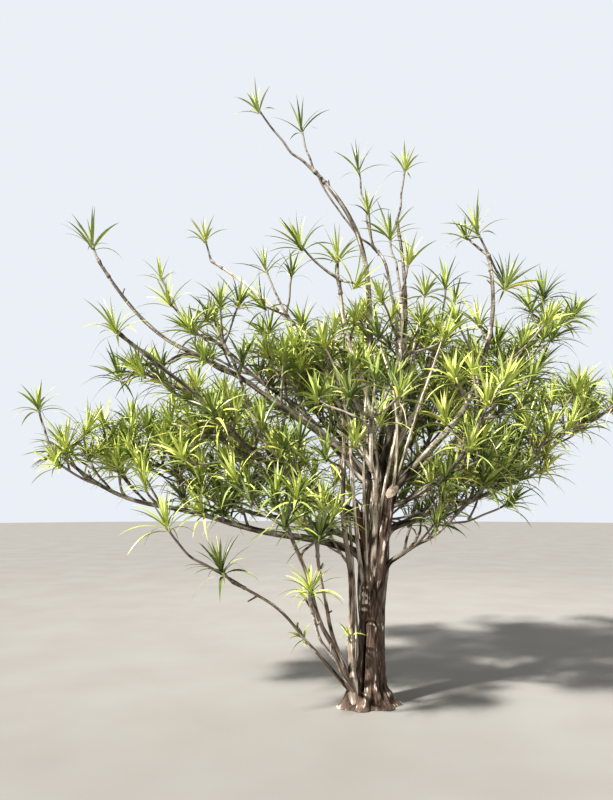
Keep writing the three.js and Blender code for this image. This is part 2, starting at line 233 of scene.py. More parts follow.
class BarkLumps:
    """Smooth, repeatable unevenness over the angle and the length of a limb."""

    def __init__(self, seed: int, around: int, spacing: float, length: float) -> None:
        """Deals out the lumps.

        Args:
            seed: Any whole number.
            around: How many lumps go round the limb.
            spacing: Distance between lumps along the limb, in metres.
            length: The limb's length in metres.
        """
        self.around, self.spacing = around, spacing
        rows = int(math.ceil(length / spacing)) + 3
        self.table = np.random.default_rng(seed).uniform(-1.0, 1.0, (rows, around))

    def at(self, angle: np.ndarray, distance: np.ndarray) -> np.ndarray:
        """Reads the unevenness.

        Args:
            angle: Radians round the limb.
            distance: Metres along it.

        Returns:
            Values from -1 to 1.
        """
        turn = np.mod(angle / (2 * math.pi), 1.0) * self.around
        step = np.clip(distance / self.spacing, 0, self.table.shape[0] - 1.001)
        column, row = np.floor(turn).astype(int), np.floor(step).astype(int)
        across, along = eased(turn - column, 0, 1), eased(step - row, 0, 1)
        left, right = column % self.around, (column + 1) % self.around
        low = blend(self.table[row, left], self.table[row, right], across)
        high = blend(self.table[row + 1, left], self.table[row + 1, right], across)
        return blend(low, high, along)


# Lines that limbs and shoots follow


@dataclass
class BezierLine:
    """A smooth line led by its ends and handles.

    Attributes:
        handles: Three or four places, in metres.
    """

    handles: Sequence[Sequence[float] | np.ndarray]

    def points(self, places: np.ndarray) -> np.ndarray:
        """Gives the points at several places.

        Args:
            places: From 0 at the root to 1 at the tip.

        Returns:
            One row for each place.
        """
        share = np.asarray(places, float)[:, None]
        rows = [np.repeat(np.asarray(handle)[None, :], len(share), axis=0) for handle in self.handles]
        while len(rows) > 1:
            rows = [blend(first, second, share) for first, second in zip(rows, rows[1:])]
        return rows[0]

    def at(self, place: float) -> np.ndarray:
        """Gives the point at one place."""
        return self.points(np.array([place]))[0]

    def heading(self, place: float) -> np.ndarray:
        """Gives the direction at one place, from 0 at the root to 1 at the tip."""
        ends = self.points(np.clip(np.array([place - 0.0001, place + 0.0001]), 0.0, 1.0))
        return unit(ends[1] - ends[0])

    def length(self) -> float:
        """Gives the line's length in metres."""
        points = self.points(np.linspace(0, 1, 25))
        return float(np.linalg.norm(np.diff(points, axis=0), axis=1).sum())


@dataclass
class WanderingLine(BezierLine):
    """A bough's line, with a slow wander to the side and up and down.

    Attributes:
        phase: Where in its wander the line begins.
        size: The wander as a share of the chord.
        across: Its rate to the side.
        upward: Its rate up and down.
    """

    phase: float = 0.0
    size: float = 0.012
    across: float = 9.0
    upward: float = 11.0

    def points(self, places: np.ndarray) -> np.ndarray:
        """Gives the points at several places, wander included.

        Args:
            places: From 0 at the root to 1 at the tip.

        Returns:
            One row for each place.
        """
        places = np.asarray(places, float)
        chord = self.handles[-1] - self.handles[0]
        side = np.cross(UP, lifted(chord, 0))
        swing = self.size * np.linalg.norm(chord) * np.sin(math.pi * places)
        sideways = swing * np.sin(self.across * places + self.phase)
        upwards = swing * np.sin(self.upward * places + 2 * self.phase)
        return super().points(places) + sideways[:, None] * side + upwards[:, None] * UP


# The tree's own numbers, as in the solids


@dataclass(frozen=True)
class BoughRow:
    """One bough of the table.

    Attributes:
        name: The bough's node.
        parent: The limb that it leaves, or crown for the ring of the root crown.
        place: How far along its parent it starts, or the bearing of its foot.
        tip: Reach, bearing and height of its tip in millimetres and degrees.
        angles: Degrees above the level at its root and at its tip.
        radii: Radii at root and tip in millimetres.
        fused: Bearing at which its fused stem comes out of the trunk's side.
    """

    name: str
    parent: str
    place: float
    tip: Triple
    angles: tuple[float, float]
    radii: tuple[float, float]
    fused: float = 0


@dataclass(frozen=True)
class TuftRow:
    """One tuft of the table, with stated rosettes or with shoots that fan out by its seed.

    Attributes:
        limb: The limb that carries it.
        seed: The seed of its shoots.
        rosettes: Reach, bearing and height of each stated rosette.
        shoots: How many shoots fan out, where none is stated.
        reach: How long the fanned shoots are in millimetres.
        spread: How wide they spread in degrees.
    """

    limb: str
    seed: int
    rosettes: tuple[Triple, ...] = ()
    shoots: int = 0
    reach: float = 0.0
    spread: float = 0.0

    @property
    def node(self) -> str:
        """The name of the tuft's node."""
        return self.limb.rsplit("_", 1)[0] + "_tuft"


BOUGHS = [
    BoughRow("top_bough", "trunk", 0.97, (410, 166, 4700), (80, 50), (46, 21), 232),
    BoughRow("right_upright_bough", "trunk", 0.93, (330, 0, 4120), (76, 98), (46, 15), 300),
    BoughRow("crossing_bough", "right_upright_bough", 0.42, (340, 62, 4040), (74, 46), (26, 15)),
    BoughRow("right_arching_bough", "trunk", 0.84, (1110, 347, 3690), (42, 96), (48, 17), 282),
    BoughRow("mid_left_bough", "trunk", 0.9, (2290, 188, 3620), (56, 58), (48, 14), 172),
    BoughRow("left_twin_bough", "trunk", 0.88, (1690, 170, 3350), (52, 40), (42, 15), 199),
    BoughRow("low_left_bough", "trunk", 0.76, (2040, 202, 2850), (22, 36), (46, 15), 216),
    BoughRow("far_left_bough", "trunk", 0.6, (2560, 188, 2020), (24, 40), (44, 14), 190),
    BoughRow("pale_left_bough", "trunk", 0.94, (1560, 157, 4020), (86, 38), (42, 14), 214),
    BoughRow("left_inner_bough", "trunk", 0.95, (700, 163, 3300), (66, 58), (34, 16), 186),
    BoughRow("centre_left_bough", "trunk", 0.91, (420, 236, 3430), (92, 80), (40, 17), 250),
    BoughRow("right_inner_bough", "right_upright_bough", 0.28, (420, 315, 3330), (62, 88), (28, 15)),
    BoughRow("right_middle_bough", "trunk", 0.95, (750, 15, 3210), (56, 72), (38, 16), 320),
    BoughRow("right_far_bough", "trunk", 0.87, (1620, 7, 3100), (34, 52), (42, 15), 340),
    BoughRow("right_low_bough", "trunk", 0.56, (800, 332, 1560), (30, 46), (28, 14), 330),
    BoughRow("right_far_low_bough", "trunk", 0.72, (1650, 357, 2160), (20, 44), (38, 14), 350),
    BoughRow("front_centre_bough", "trunk", 0.8, (900, 267, 2160), (12, 58), (34, 14), 262),
    BoughRow("front_right_bough", "trunk", 0.82, (1130, 311, 2160), (14, 56), (36, 14), 306),
    BoughRow("left_low_bough", "trunk", 0.66, (1740, 176, 1900), (22, 34), (36, 14), 176),
    BoughRow("back_right_bough", "trunk", 0.84, (1580, 49, 2720), (36, 48), (42, 15), 40),
    BoughRow("back_high_bough", "trunk", 0.92, (1150, 73, 3300), (58, 56), (42, 15), 84),
    BoughRow("back_left_bough", "trunk", 0.86, (1430, 118, 3050), (48, 46), (42, 15), 126),
    BoughRow("back_low_right_bough", "trunk", 0.68, (1590, 75, 1980), (20, 44), (38, 14), 62),
    BoughRow("back_low_left_bough", "trunk", 0.74, (1800, 138, 2310), (24, 40), (40, 14), 150),
    BoughRow("side_stem", "crown", 212, (300, 225, 2440), (86, 88), (40, 18)),
    BoughRow("front_fan_stem", "crown", 205, (1070, 233, 1420), (50, 54), (32, 15)),
    BoughRow("back_fan_stem", "crown", 186, (740, 234, 1260), (62, 80), (28, 14)),
    BoughRow("left_middle_bough", "low_left_bough", 0.36, (1210, 190, 2900), (46, 60), (26, 14)),
    BoughRow("low_shoot", "crown", 198, (1180, 211, 1010), (42, 26), (20, 12)),
    BoughRow("foot_shoot", "crown", 218, (850, 236, 860), (44, 66), (17, 12)),
]

TUFTS = [
    TuftRow("top_bough", 1, ((990, 177, 5380), (590, 165, 5250))),
    TuftRow("crossing_bough", 2, ((350, 90, 4930), (210, 69, 4410))),
    TuftRow("right_upright_bough", 3, ((410, 0, 4730),)),
    TuftRow("right_arching_bough", 4, ((1010, 343, 3980), (930, 354, 4000), (1260, 353, 3520))),
    TuftRow("mid_left_bough", 5, ((2400, 187, 3850),)),
    TuftRow("left_twin_bough", 6, ((1960, 170, 3790), (1820, 174, 3490), (1400, 182, 3250))),
    TuftRow("low_left_bough", 7, ((2140, 202, 2940),)),
    TuftRow("far_left_bough", 8, ((2750, 187, 2410), (2280, 189, 2000))),
    TuftRow("pale_left_bough", 9, ((1670, 159, 4300),)),
    TuftRow("left_inner_bough", 10, ((960, 162, 3860), (660, 171, 3740), (950, 168, 3450))),
    TuftRow("centre_left_bough", 11, ((730, 218, 3770), (390, 230, 3720), (510, 259, 3410))),
    TuftRow("right_inner_bough", 12, ((500, 316, 3670), (300, 318, 3970))),
    TuftRow("right_middle_bough", 13, ((820, 14, 3660), (980, 21, 3550), (640, 351, 3120))),
    TuftRow("right_far_bough", 14, (), 5, 400, 56),
    TuftRow("right_low_bough", 15, (), 3, 300, 50),
    TuftRow("right_far_low_bough", 16, (), 4, 430, 56),
    TuftRow("front_centre_bough", 17, (), 4, 360, 56),
    TuftRow("front_right_bough", 18, (), 5, 380, 56),
    TuftRow("left_low_bough", 19, (), 5, 420, 56),
    TuftRow("back_right_bough", 20, (), 4, 460, 60),
    TuftRow("back_high_bough", 21, (), 4, 460, 60),
    TuftRow("back_left_bough", 22, (), 4, 460, 60),
    TuftRow("back_low_right_bough", 23, (), 4, 440, 60),
    TuftRow("back_low_left_bough", 24, (), 4, 460, 60),
    TuftRow("side_stem", 25, (), 4, 400, 40),
    TuftRow("front_fan_stem", 26, (), 2, 200, 46),
    TuftRow("back_fan_stem", 27, (), 2, 200, 50),
    TuftRow("left_middle_bough", 28, (), 5, 440, 56),
    TuftRow("low_shoot", 29, (), 1, 160, 20),
    TuftRow("foot_shoot", 30, (), 1, 120, 20),
]

# Rosettes that stand out on the crown's face, by reach, bearing and height
FACE_ROSETTES = [
    (310, 287, 3040), (790, 321, 2960), (850, 272, 2230), (880, 308, 2260), (620, 257, 2090),
    (580, 231, 1990), (750, 352, 2650), (960, 342, 2080), (540, 22, 1500), (990, 245, 1400),
    (1200, 236, 1490), (1620, 206, 1970), (1770, 211, 1480), (1850, 197, 1770), (2070, 191, 1940),
    (1480, 198, 2190), (1670, 190, 2290), (1780, 186, 2810), (1410, 194, 2820), (2000, 183, 2760),
    (2180, 180, 2740), (1080, 185, 2850), (920, 167, 3000), (650, 198, 2960), (410, 209, 2950),
    (1220, 209, 1810), (820, 238, 2430), (1000, 210, 2230), (1170, 0, 2250), (1500, 4, 2670),
    (1170, 217, 1640), (700, 215, 2120),
]

# Rosettes low behind the fork, where the crown is closed, by reach, bearing and height
BACK_ROSETTES = [
    (580, 120, 2230), (720, 102, 2110), (550, 116, 1830), (660, 99, 1730), (820, 114, 1600),
    (860, 99, 1490), (720, 57, 1620), (940, 58, 1440), (840, 41, 1590), (840, 63, 1960),
]

# Inner boughs whose bark is painted near white, as if sunlit
SUNLIT_BOUGHS = (
    "pale_left_bough", "left_inner_bough", "centre_left_bough", "right_inner_bough",
    "right_middle_bough", "front_centre_bough",
)

# Thin bare limbs by the reach, bearing and height of their ends and handles
THIN_LIMBS = [
    ((344, 60, 4015), (222, 64, 4012), (391, 156, 4441), (406, 172, 4688)),
]

# Slender upright stems beside the trunk and in the crown's middle: whether a rosette ends it, its
# radius at root and tip, and the reach, bearing and height of its points
UPRIGHT_STEMS = [
    (True, (23, 11), (
        (50, 215, 940), (183, 225, 1479), (223, 230, 1890),
        (245, 239, 2180), (331, 238, 2542), (537, 225, 2947),
    )),
    (False, (23, 10), (
        (40, 255, 1000), (140, 255, 1561), (187, 254, 1973),
        (221, 266, 2323), (275, 260, 2638), (307, 285, 2978),
    )),
    (False, (23, 10), (
        (85, 332, 1080), (226, 328, 1602), (328, 327, 1940),
        (358, 318, 2278), (369, 311, 2542), (294, 293, 2915),
    )),
    (False, (21, 10), (
        (130, 350, 1400), (323, 332, 1892), (423, 320, 2199),
        (614, 317, 2525), (725, 319, 2803), (774, 320, 2941),
    )),
    (True, (23, 11), (
        (75, 320, 1220), (175, 312, 1726), (255, 324, 2060),
        (345, 338, 2404), (409, 352, 2896), (559, 0, 3507),
    )),
    (False, (30, 13), (
        (95, 212, 20), (103, 205, 330), (112, 197, 640),
        (126, 193, 960), (140, 192, 1290), (165, 192, 1610),
    )),
]

# Small leafy spurs low on the stems: limb, how far along it, and length in millimetres
SPURS = [
    ("side_stem", 0.15, 90),
    ("low_shoot", 0.42, 80),
    ("front_fan_stem", 0.55, 120),
    ("trunk", 0.72, 110),
]


class LeafTone(Enum):
    """How a strap leaf is coloured, from the heart of a rosette outwards and downwards. The bright and deep
    tones are partly painted sunlight and painted shade.
    """

    YOUNG = "young_leaves"
    BRIGHT = "bright_leaves"
    GREEN = "green_leaves"
    DEEP = "deep_leaves"
    YELLOWING = "yellowing_leaves"
    DRY = "dry_leaves"


@dataclass(frozen=True)
class Habit:
    """How a rosette grows by where it stands.

    Attributes:
        leaves: Fewest and most leaves.
        sizes: Least and greatest length of its leaves, as a share of the full length.
        limpness: How far its leaves arch over, 1 for most.
        opening: How wide its outermost leaves spread, in degrees off its axis.
    """

    leaves: tuple[float, float]
    sizes: tuple[float, float]
    limpness: float
    opening: float


# Alone against the sky a rosette has fewer and stiffer leaves
OPEN_SKY = Habit((11, 17), (0.84, 1.16), 0.5, 80)
IN_CROWN = Habit((20, 28), (0.88, 1.14), 0.8, 108)

# Leaves of the rosettes that are richer than the rest, by their seed, and their size and opening
RICH_ROSETTES = {1100: 22, 1002: 18, 400: 18, 402: 26, 1201: 18, 1101: 20}
RICH_SIZE, RICH_OPENING = 1.16, 98


@dataclass
class Rosette:
    """The leaves round the end of one shoot.

    Attributes:
        heart: The shoot's end.
        axis: The way that its leaves open to.
        leaves: How many leaves it carries.
        size: Its leaves' length, as a share of the full length.
        tone: The colour of its grown leaves.
        seed: The seed of its leaves.
        limpness: How far its leaves arch over, 1 for most.
        opening: How wide its outermost leaves spread, in degrees off its axis.
    """

    heart: np.ndarray
    axis: np.ndarray
    leaves: int
    size: float
    tone: LeafTone
    seed: int
    limpness: float = 1.0
    opening: float = 106


@dataclass
class Shoot:
    """A leafy or bare shoot.

    Attributes:
        line: The line that it follows.
        root_radius: Its radius at the root, in metres.
        tip_radius: Its radius at the tip, in metres.
        cut: Whether it is a dead stub with a broken end.
    """

    line: BezierLine
    root_radius: float
    tip_radius: float
    cut: bool = False


@dataclass
class Limb:
    """A trunk, bough or long stem: its line and its radius along it.

    Attributes:
        line: The line that it follows.
        root_radius: Its radius at the root, in metres.
        tip_radius: Its radius at the tip, in metres.
        clear: How far along it stands clear of what it grows from, in metres.
        lead: Points of the stem that it grows on from, up the trunk's side or out of the root crown.
        joins: How far along the limb that stem joins its line, in metres.
        knots: Places where something leaves it, from 0 to 1.
    """

    line: BezierLine
    root_radius: float
    tip_radius: float
    clear: float = 0.0
    lead: np.ndarray | None = None
    joins: float = 0.0
    knots: list[float] = field(default_factory=list)

    def radius(self, places: Numbers) -> Numbers:
        """Gives the radius at places along the limb, which thins sooner than evenly."""
        return blend(self.root_radius, self.tip_radius, np.asarray(places) ** 0.8)


# Skins, and the pieces that they are joined into


def joined(name: str, finish: bpy.types.Material, skins: Iterable[Skin]) -> bpy.types.Object:
    """Joins skins into one piece.

    Args:
        name: The piece's name.
        finish: Its material.
        skins: The parts.

    Returns:
        The new object.
    """
    corners, grain, relief, quads, triangles = zip(*skins)
    first = np.cumsum([0] + [len(part) for part in corners])
    quads = np.concatenate([part.reshape(-1, 4) + start for part, start in zip(quads, first)])
    triangles = np.concatenate([part.reshape(-1, 3) + start for part, start in zip(triangles, first)])
    loops = np.concatenate([quads.ravel(), triangles.ravel()])
    starts = np.concatenate([4 * np.arange(len(quads)), 4 * len(quads) + 3 * np.arange(len(triangles))])
    mesh = bpy.data.meshes.new(name)
    mesh.vertices.add(int(first[-1]))
    mesh.vertices.foreach_set("co", np.concatenate(corners).astype(np.float32).ravel())
    mesh.loops.add(len(loops))
    mesh.loops.foreach_set("vertex_index", loops.astype(np.int32))
    mesh.polygons.add(len(starts))
    mesh.polygons.foreach_set("loop_start", starts.astype(np.int32))
    mesh.update(calc_edges=True)
    mesh.polygons.foreach_set("use_smooth", np.ones(len(starts), bool))
    for layer, kind, key, rows in (
        ("grain", "FLOAT_VECTOR", "vector", grain),
        ("relief", "FLOAT", "value", relief),
    ):
        values = np.concatenate(rows).astype(np.float32).ravel()
        mesh.attributes.new(layer, kind, "POINT").data.foreach_set(key, values)
    mesh.materials.append(finish)
    piece = bpy.data.objects.new(name, mesh)
    bpy.context.scene.collection.objects.link(piece)
    return piece


def rings_along(points: np.ndarray) -> tuple[np.ndarray, np.ndarray]:
    """Gives ring directions along a row of points that turn as little as they can.

    Args:
        points: The middles of the rings.

    Returns:
        Two rows of directions square to the line, the first starting out along +X.
    """
    ahead = unit(np.gradient(points, axis=0))
    across = np.empty_like(points)
    last = EAST
    for i, direction in enumerate(ahead):
        if abs(direction @ last) > NEAR_UPRIGHT:
            last = NORTH
        last = unit(last - direction * (direction @ last))
        across[i] = last
    return across, np.cross(ahead, across)


def tube(
    points: np.ndarray,
    radii: np.ndarray,
    relief: np.ndarray,
    start: float = 0.0,
    end_relief: float = END_RELIEF,
) -> Skin:
    """Skins a limb: a ring at each point, and a cap at each end.

    Args:
        points: The middles of the rings.
        radii: A row for each ring, a column for each side.
        relief: The relief, in the same rows and columns.
        start: How far along the limb the first ring is, in metres.
        end_relief: The relief in the middle of the far cap.

    Returns:
        The skin.
    """
    rings, sides = radii.shape
    across, along = rings_along(points)
    angles = round_angles(sides)
    flat = radii[:, :, None] * np.stack([np.cos(angles), np.sin(angles)]).T[None, :, :]
    corners = points[:, None, :] + flat[..., :1] * across[:, None, :] + flat[..., 1:] * along[:, None, :]
    steps = np.linalg.norm(np.diff(points, axis=0), axis=1)
    distance = start + np.concatenate([[0.0], np.cumsum(steps)])
    grain = np.concatenate([flat, np.repeat(distance[:, None, None], sides, axis=1)], axis=2)
    side = np.arange(sides)
    after = (side + 1) % sides
    low = sides * np.arange(rings - 1)[:, None]
    high = low + sides
    quads = np.stack([low + side, low + after, high + after, high + side], axis=-1)
    top, middle = (rings - 1) * sides, rings * sides
    bottom_cap = np.stack([after, side, np.full(sides, middle)], axis=-1)
    top_cap = np.stack([top + side, top + after, np.full(sides, middle + 1)], axis=-1)
    corners = np.concatenate([corners.reshape(-1, 3), points[:1], points[-1:]])
    grain = np.concatenate([grain.reshape(-1, 3), [[0.0, 0.0, distance[0]], [0.0, 0.0, distance[-1]]]])
    relief = np.concatenate([np.clip(relief, 0, 1).ravel(), [END_RELIEF, end_relief]])
    return corners, grain, relief, quads, np.concatenate([bottom_cap, top_cap])


def disc(corners: np.ndarray, sides: int, origin: np.ndarray) -> Skin:
    """Skins a disc.

    Args:
        corners: Its middle, then the corners of each ring from the innermost outwards.
        sides: Corners round each ring.
        origin: The place that its grain is measured from.

    Returns:
        The skin.
    """
    side = np.arange(sides)
    after = (side + 1) % sides
    inner = np.arange(1, len(corners) - sides, sides)[:, None]
    outer = inner + sides
    quads = np.stack([inner + side, outer + side, outer + after, inner + after], axis=-1)
    triangles = np.stack([0 * side, 1 + side, 1 + after], axis=1)
    return corners, corners - origin, np.ones(len(corners)), quads, triangles


# Finishes


def linear(colour: str) -> tuple[float, float, float, float]:
    """Turns an sRGB hex colour such as "#8a7868" to linear red, green, blue and alpha."""
    channels = [int(colour[i : i + 2], 16) / 255 for i in (1, 3, 5)]
    return (*(c / 12.92 if c <= 0.04045 else ((c + 0.055) / 1.055) ** 2.4 for c in channels), 1.0)


def fill_inputs(tree: bpy.types.NodeTree, node: bpy.types.Node, inputs: Mapping[str | int, object]) -> None:
    """Sets a shader node's inputs.

    Args:
        tree: The nodes that it belongs to.
        node: The node.
        inputs: A value, or another node's output, for each named or numbered input.
    """
    for name, value in inputs.items():
        if isinstance(value, Socket):
            tree.links.new(value, node.inputs[name])
        else:
            node.inputs[name].default_value = value


def add_node(
    tree: bpy.types.NodeTree,
    kind: str,
    inputs: Mapping[str | int, object] | None = None,
    **settings: object,
) -> bpy.types.Node:
    """Adds a shader node with its settings and its links.

    Args:
        tree: The nodes that it joins.
        kind: The node's type.
        inputs: A value, or another node's output, for each named or numbered input.
        **settings: The node's own settings.

    Returns:
        The new node.
    """
    node = tree.nodes.new(kind)
    for name, value in settings.items():
        setattr(node, name, value)
    fill_inputs(tree, node, inputs or {})
    return node


class Surface:
    """A material in the making: one principled shader, and the nodes that most finishes use."""

    def __init__(self, name: str) -> None:
        """Starts the material.

        Args:
            name: The material's name.
        """
        self.material = bpy.data.materials.new(name)
        self.material.use_nodes = True
        self.tree = self.material.node_tree

    def grain(self) -> Socket:
        """Reads the grain that the mesh carries."""
        return add_node(self.tree, "ShaderNodeAttribute", attribute_name="grain").outputs["Vector"]

    def relief(self) -> Socket:
        """Reads the relief that the mesh carries."""
        return add_node(self.tree, "ShaderNodeAttribute", attribute_name="relief").outputs["Fac"]

    def place(self) -> Socket:
        """Reads the place on the mesh, in metres."""
        return add_node(self.tree, "ShaderNodeTexCoord").outputs["Object"]

    def noise(
        self,
        place: Socket,
        marks: float | Triple,
        detail: float,
        roughness: float = 0.5,
    ) -> Socket:
        """Adds a noise.

        Args:
            place: Where it is read.
            marks: The size of its marks in metres, one for every way or one for each axis.
            detail: How many finer noises lie on it.
            roughness: How strong these are.

        Returns:
            Its values, from 0 to 1.
        """
        scale = 1.0
        if isinstance(marks, tuple):
            stretch = {"Vector": place, "Scale": [1 / size for size in marks]}
            place = add_node(self.tree, "ShaderNodeMapping", stretch).outputs["Vector"]
        else:
            scale = 1 / marks
        inputs = {"Vector": place, "Scale": scale, "Detail": detail, "Roughness": roughness}
        return add_node(self.tree, "ShaderNodeTexNoise", inputs).outputs["Fac"]

    def scaled(self, value: Socket, factor: float, added: Socket | float = 0.0) -> Socket:
        """Multiplies a value by a factor and adds another to it."""
        inputs = {0: value, 1: factor, 2: added}
        return add_node(self.tree, "ShaderNodeMath", inputs, operation="MULTIPLY_ADD").outputs[0]

    def mapped(self, value: Socket, ends: tuple[float, float], results: tuple[float, float]) -> Socket:
        """Turns values between two ends evenly into those between two results.

        Args:
            value: The values. Those beyond the ends are held at the results.
            ends: The lowest and the highest value.
            results: What these two are turned into.

        Returns:
            The results.
        """
        names = ("Value", "From Min", "From Max", "To Min", "To Max")
        inputs = dict(zip(names, (value, *ends, *results)))
        return add_node(self.tree, "ShaderNodeMapRange", inputs).outputs[0]

    def ramp(self, value: Socket, *stops: tuple[float, str]) -> Socket:
        """Colours values by a ramp.

        Args:
            value: The values.
            *stops: Places on the ramp and their sRGB hex colours.

        Returns:
            The colour.
        """
        node = add_node(self.tree, "ShaderNodeValToRGB", {"Fac": value})
        elements = node.color_ramp.elements
        while len(elements) < len(stops):
            elements.new(1.0)
        for element, (place, colour) in zip(elements, stops):
            element.position = place
            element.color = linear(colour)
        return node.outputs["Color"]

    def finished(
        self,
        colour: Socket,
        roughness: Socket | float,
        specular: float = 0.5,
        bump: tuple[Socket, float, float] | None = None,
    ) -> bpy.types.Material:
        """Joins everything to the shader.

        Args:
            colour: The base colour.
            roughness: How far the surface spreads the light.
            specular: How strongly it reflects.
            bump: What raises it, how strongly, and by how many metres.

        Returns:
            The material.
        """
        inputs = {"Base Color": colour, "Roughness": roughness, "Specular IOR Level": specular}
        if bump:
            height, strength, depth = bump
            raised = {"Strength": strength, "Distance": depth, "Height": height}
            inputs["Normal"] = add_node(self.tree, "ShaderNodeBump", raised).outputs["Normal"]
        fill_inputs(self.tree, self.tree.nodes["Principled BSDF"], inputs)
        return self.material


@dataclass(frozen=True)
class FibrousBark:
    """Old dragon tree bark, grown in place: grey-brown, corky and split lengthwise.

    The splits show as dark upright streaks between paler fibres, and pale dashes on the ridges are
    painted sun flecks. Real fibres are about 3 mm wide, too fine to show here, so they are drawn 9 mm wide.

    Attributes:
        name: The material's name.
        groove: Colour at the bottom of a split.
        body: Colour of most of the bark.
        ridge: Colour of the ridges between splits.
        painted_sunlight: Colour of the pale dashes, painted sun flecks.
        painted_sunlight_share: How much of the ridges the painted sun flecks cover, from 0 to 1.
        fibre: Width and length of the fibres in millimetres.
        dash: Width and length of the painted sun-fleck dashes in millimetres.
        levels: Height of groove, body and ridge, from 0 to 1.
        exposed: Heights between which the painted sun flecks set in.
        bump: How strongly the splits are raised, and by how many metres.
    """

    name: str = "fibrous_trunk_bark"
    groove: str = "#312823"
    body: str = "#5c4e45"
    ridge: str = "#7e6e63"
    painted_sunlight: str = "#eee3d2"
    painted_sunlight_share: float = 0.95
    fibre: tuple[float, float] = (9, 65)
    dash: tuple[float, float] = (24, 110)
    levels: Triple = (0.4, 0.63, 0.88)
    exposed: tuple[float, float] = (0.835, 0.92)
    bump: tuple[float, float] = (0.8, 5 * MM)

    def material(self) -> bpy.types.Material:
        """Makes the material."""
        surface = Surface(self.name)
        grain, coarse = surface.grain(), surface.scaled(surface.relief(), 0.6)
        heights = []
        for (wide, long), detail in ((self.fibre, 5.0), (self.dash, 3.0)):
            noise = surface.noise(grain, (wide * MM, wide * MM, long * MM), detail, 0.62)
            heights.append(surface.scaled(noise, 0.8, coarse))
        # Groove, body and ridge follow the fibres and the mesh's relief, which in places carries painted
        # shade
        streaks = surface.ramp(heights[0], *zip(self.levels, (self.groove, self.body, self.ridge)))
        # Pale dashes on the ridges by the second noise: painted sun flecks
        pale = surface.mapped(heights[1], self.exposed, (0.0, self.painted_sunlight_share))
        mixed = {0: pale, 6: streaks, 7: linear(self.painted_sunlight)}
        colour = add_node(surface.tree, "ShaderNodeMix", mixed, data_type="RGBA").outputs[2]
        return surface.finished(colour, 1.0, 0.12, (heights[0], *self.bump))


@dataclass(frozen=True)
class RingScarredBark:
    """Bark of young dragon tree shoots: thin, grey-brown, ringed by the scars of fallen leaves.

    Each scar is a slight step with a dark line under it, and the bark is matt with fine wrinkles.
    Real scars lie 8 to 15 mm apart, too close to show here, so they are drawn about 26 mm apart.

    Attributes:
        shade: Colour in the scars and wrinkles.
        body: Colour of most of the bark.
        lit: Colour of the palest patches.
        wrinkle: Width and length of the wrinkles in metres.
        patch: Size of the pale patches in metres.
    """

    shade: str = "#2d2722"
    body: str = "#625a52"
    lit: str = "#928a80"
    wrinkle: tuple[float, float] = (7 * MM, 20 * MM)
    patch: float = 90 * MM

    def material(self) -> bpy.types.Material:
        """Makes the material."""
        surface = Surface("ring_scarred_bark")
        grain, (wide, long) = surface.grain(), self.wrinkle
        wrinkles = surface.noise(grain, (wide, wide, long), 4.0, 0.6)
        mixed = surface.scaled(wrinkles, 0.45, surface.noise(grain, self.patch, 3.0, 0.55))
        height = surface.scaled(surface.relief(), 0.5, mixed)
        colour = surface.ramp(height, (0.6, self.shade), (0.86, self.body), (1.0, self.lit))
        return surface.finished(colour, 0.85, 0.25, (wrinkles, 0.4, 2 * MM))


@dataclass(frozen=True)
class LivingLeaf:
    """A strap leaf's skin, grown with a thin natural wax: satin, with fine veins that run lengthwise.

    Real veins are under 1 mm apart, too fine to show here, so they are drawn 5 mm apart.

    Attributes:
        name: The material's name.
        body: Colour of most of the blade.
        streak: Colour of the paler streaks.
        shade: Colour of the darker ones.
        roughness: How far the wax spreads the light: more where a leaf is drying out.
        vein: Distance between veins in metres.
        streak_length: Length of the streaks in metres.
    """

    name: str
    body: str
    streak: str
    shade: str
    roughness: float = 0.3
    vein: float = 5 * MM
    streak_length: float = 120 * MM

    def material(self) -> bpy.types.Material:
        """Makes the material."""
        surface = Surface(self.name)
        veins = surface.noise(surface.grain(), (self.vein, 1.0, self.streak_length), 3.0)
        colour = surface.ramp(veins, (0.3, self.shade), (0.5, self.body), (0.72, self.streak))
        gloss = surface.mapped(veins, (0.0, 1.0), (self.roughness - 0.08, self.roughness + 0.12))
        return surface.finished(colour, gloss, 0.5, (veins, 0.25, 1 * MM))


@dataclass(frozen=True)
class SawnStemWood:
    """Stem wood of a lopped limb, sawn across and dried: pale, fibrous and slightly cracked. Its colours
    are set near white, partly the wood's own paleness and partly painted sunlight.

    Attributes:
        pale: Colour of the dry fibres.
        body: Colour of the wood between them.
        crack: Colour in the cracks.
        fibre: Size of the fibres' cut ends in metres.
    """

    # Near white: the dry wood's own paleness with painted sunlight on it
    pale: str = "#f6e8da"
    body: str = "#e3cdb8"
    crack: str = "#a0826b"
    fibre: float = 6 * MM

    def material(self) -> bpy.types.Material:
        """Makes the material."""
        surface = Surface("sawn_stem_wood")
        fibres = surface.noise(surface.place(), self.fibre, 4.0, 0.65)
        colour = surface.ramp(fibres, (0.3, self.crack), (0.46, self.body), (0.62, self.pale))
        return surface.finished(colour, 0.8, bump=(fibres, 0.5, 2 * MM))


@dataclass(frozen=True)
class PaintedStudioFloor:
    """A studio floor rolled with matt off-white paint: even, with a faint mottle from the roller.

    Attributes:
        light: Colour of the paint.
        dark: Colour where it lies thinner.
        mottle: Size of the mottle in metres.
    """

    light: str = "#8f8d89"
    dark: str = "#898682"
    mottle: float = 900 * MM

    def material(self) -> bpy.types.Material:
        """Makes the material."""
        surface = Surface("painted_studio_floor")
        mottle = surface.noise(surface.place(), self.mottle, 2.0)
        return surface.finished(surface.ramp(mottle, (0.3, self.dark), (0.7, self.light)), 0.9)


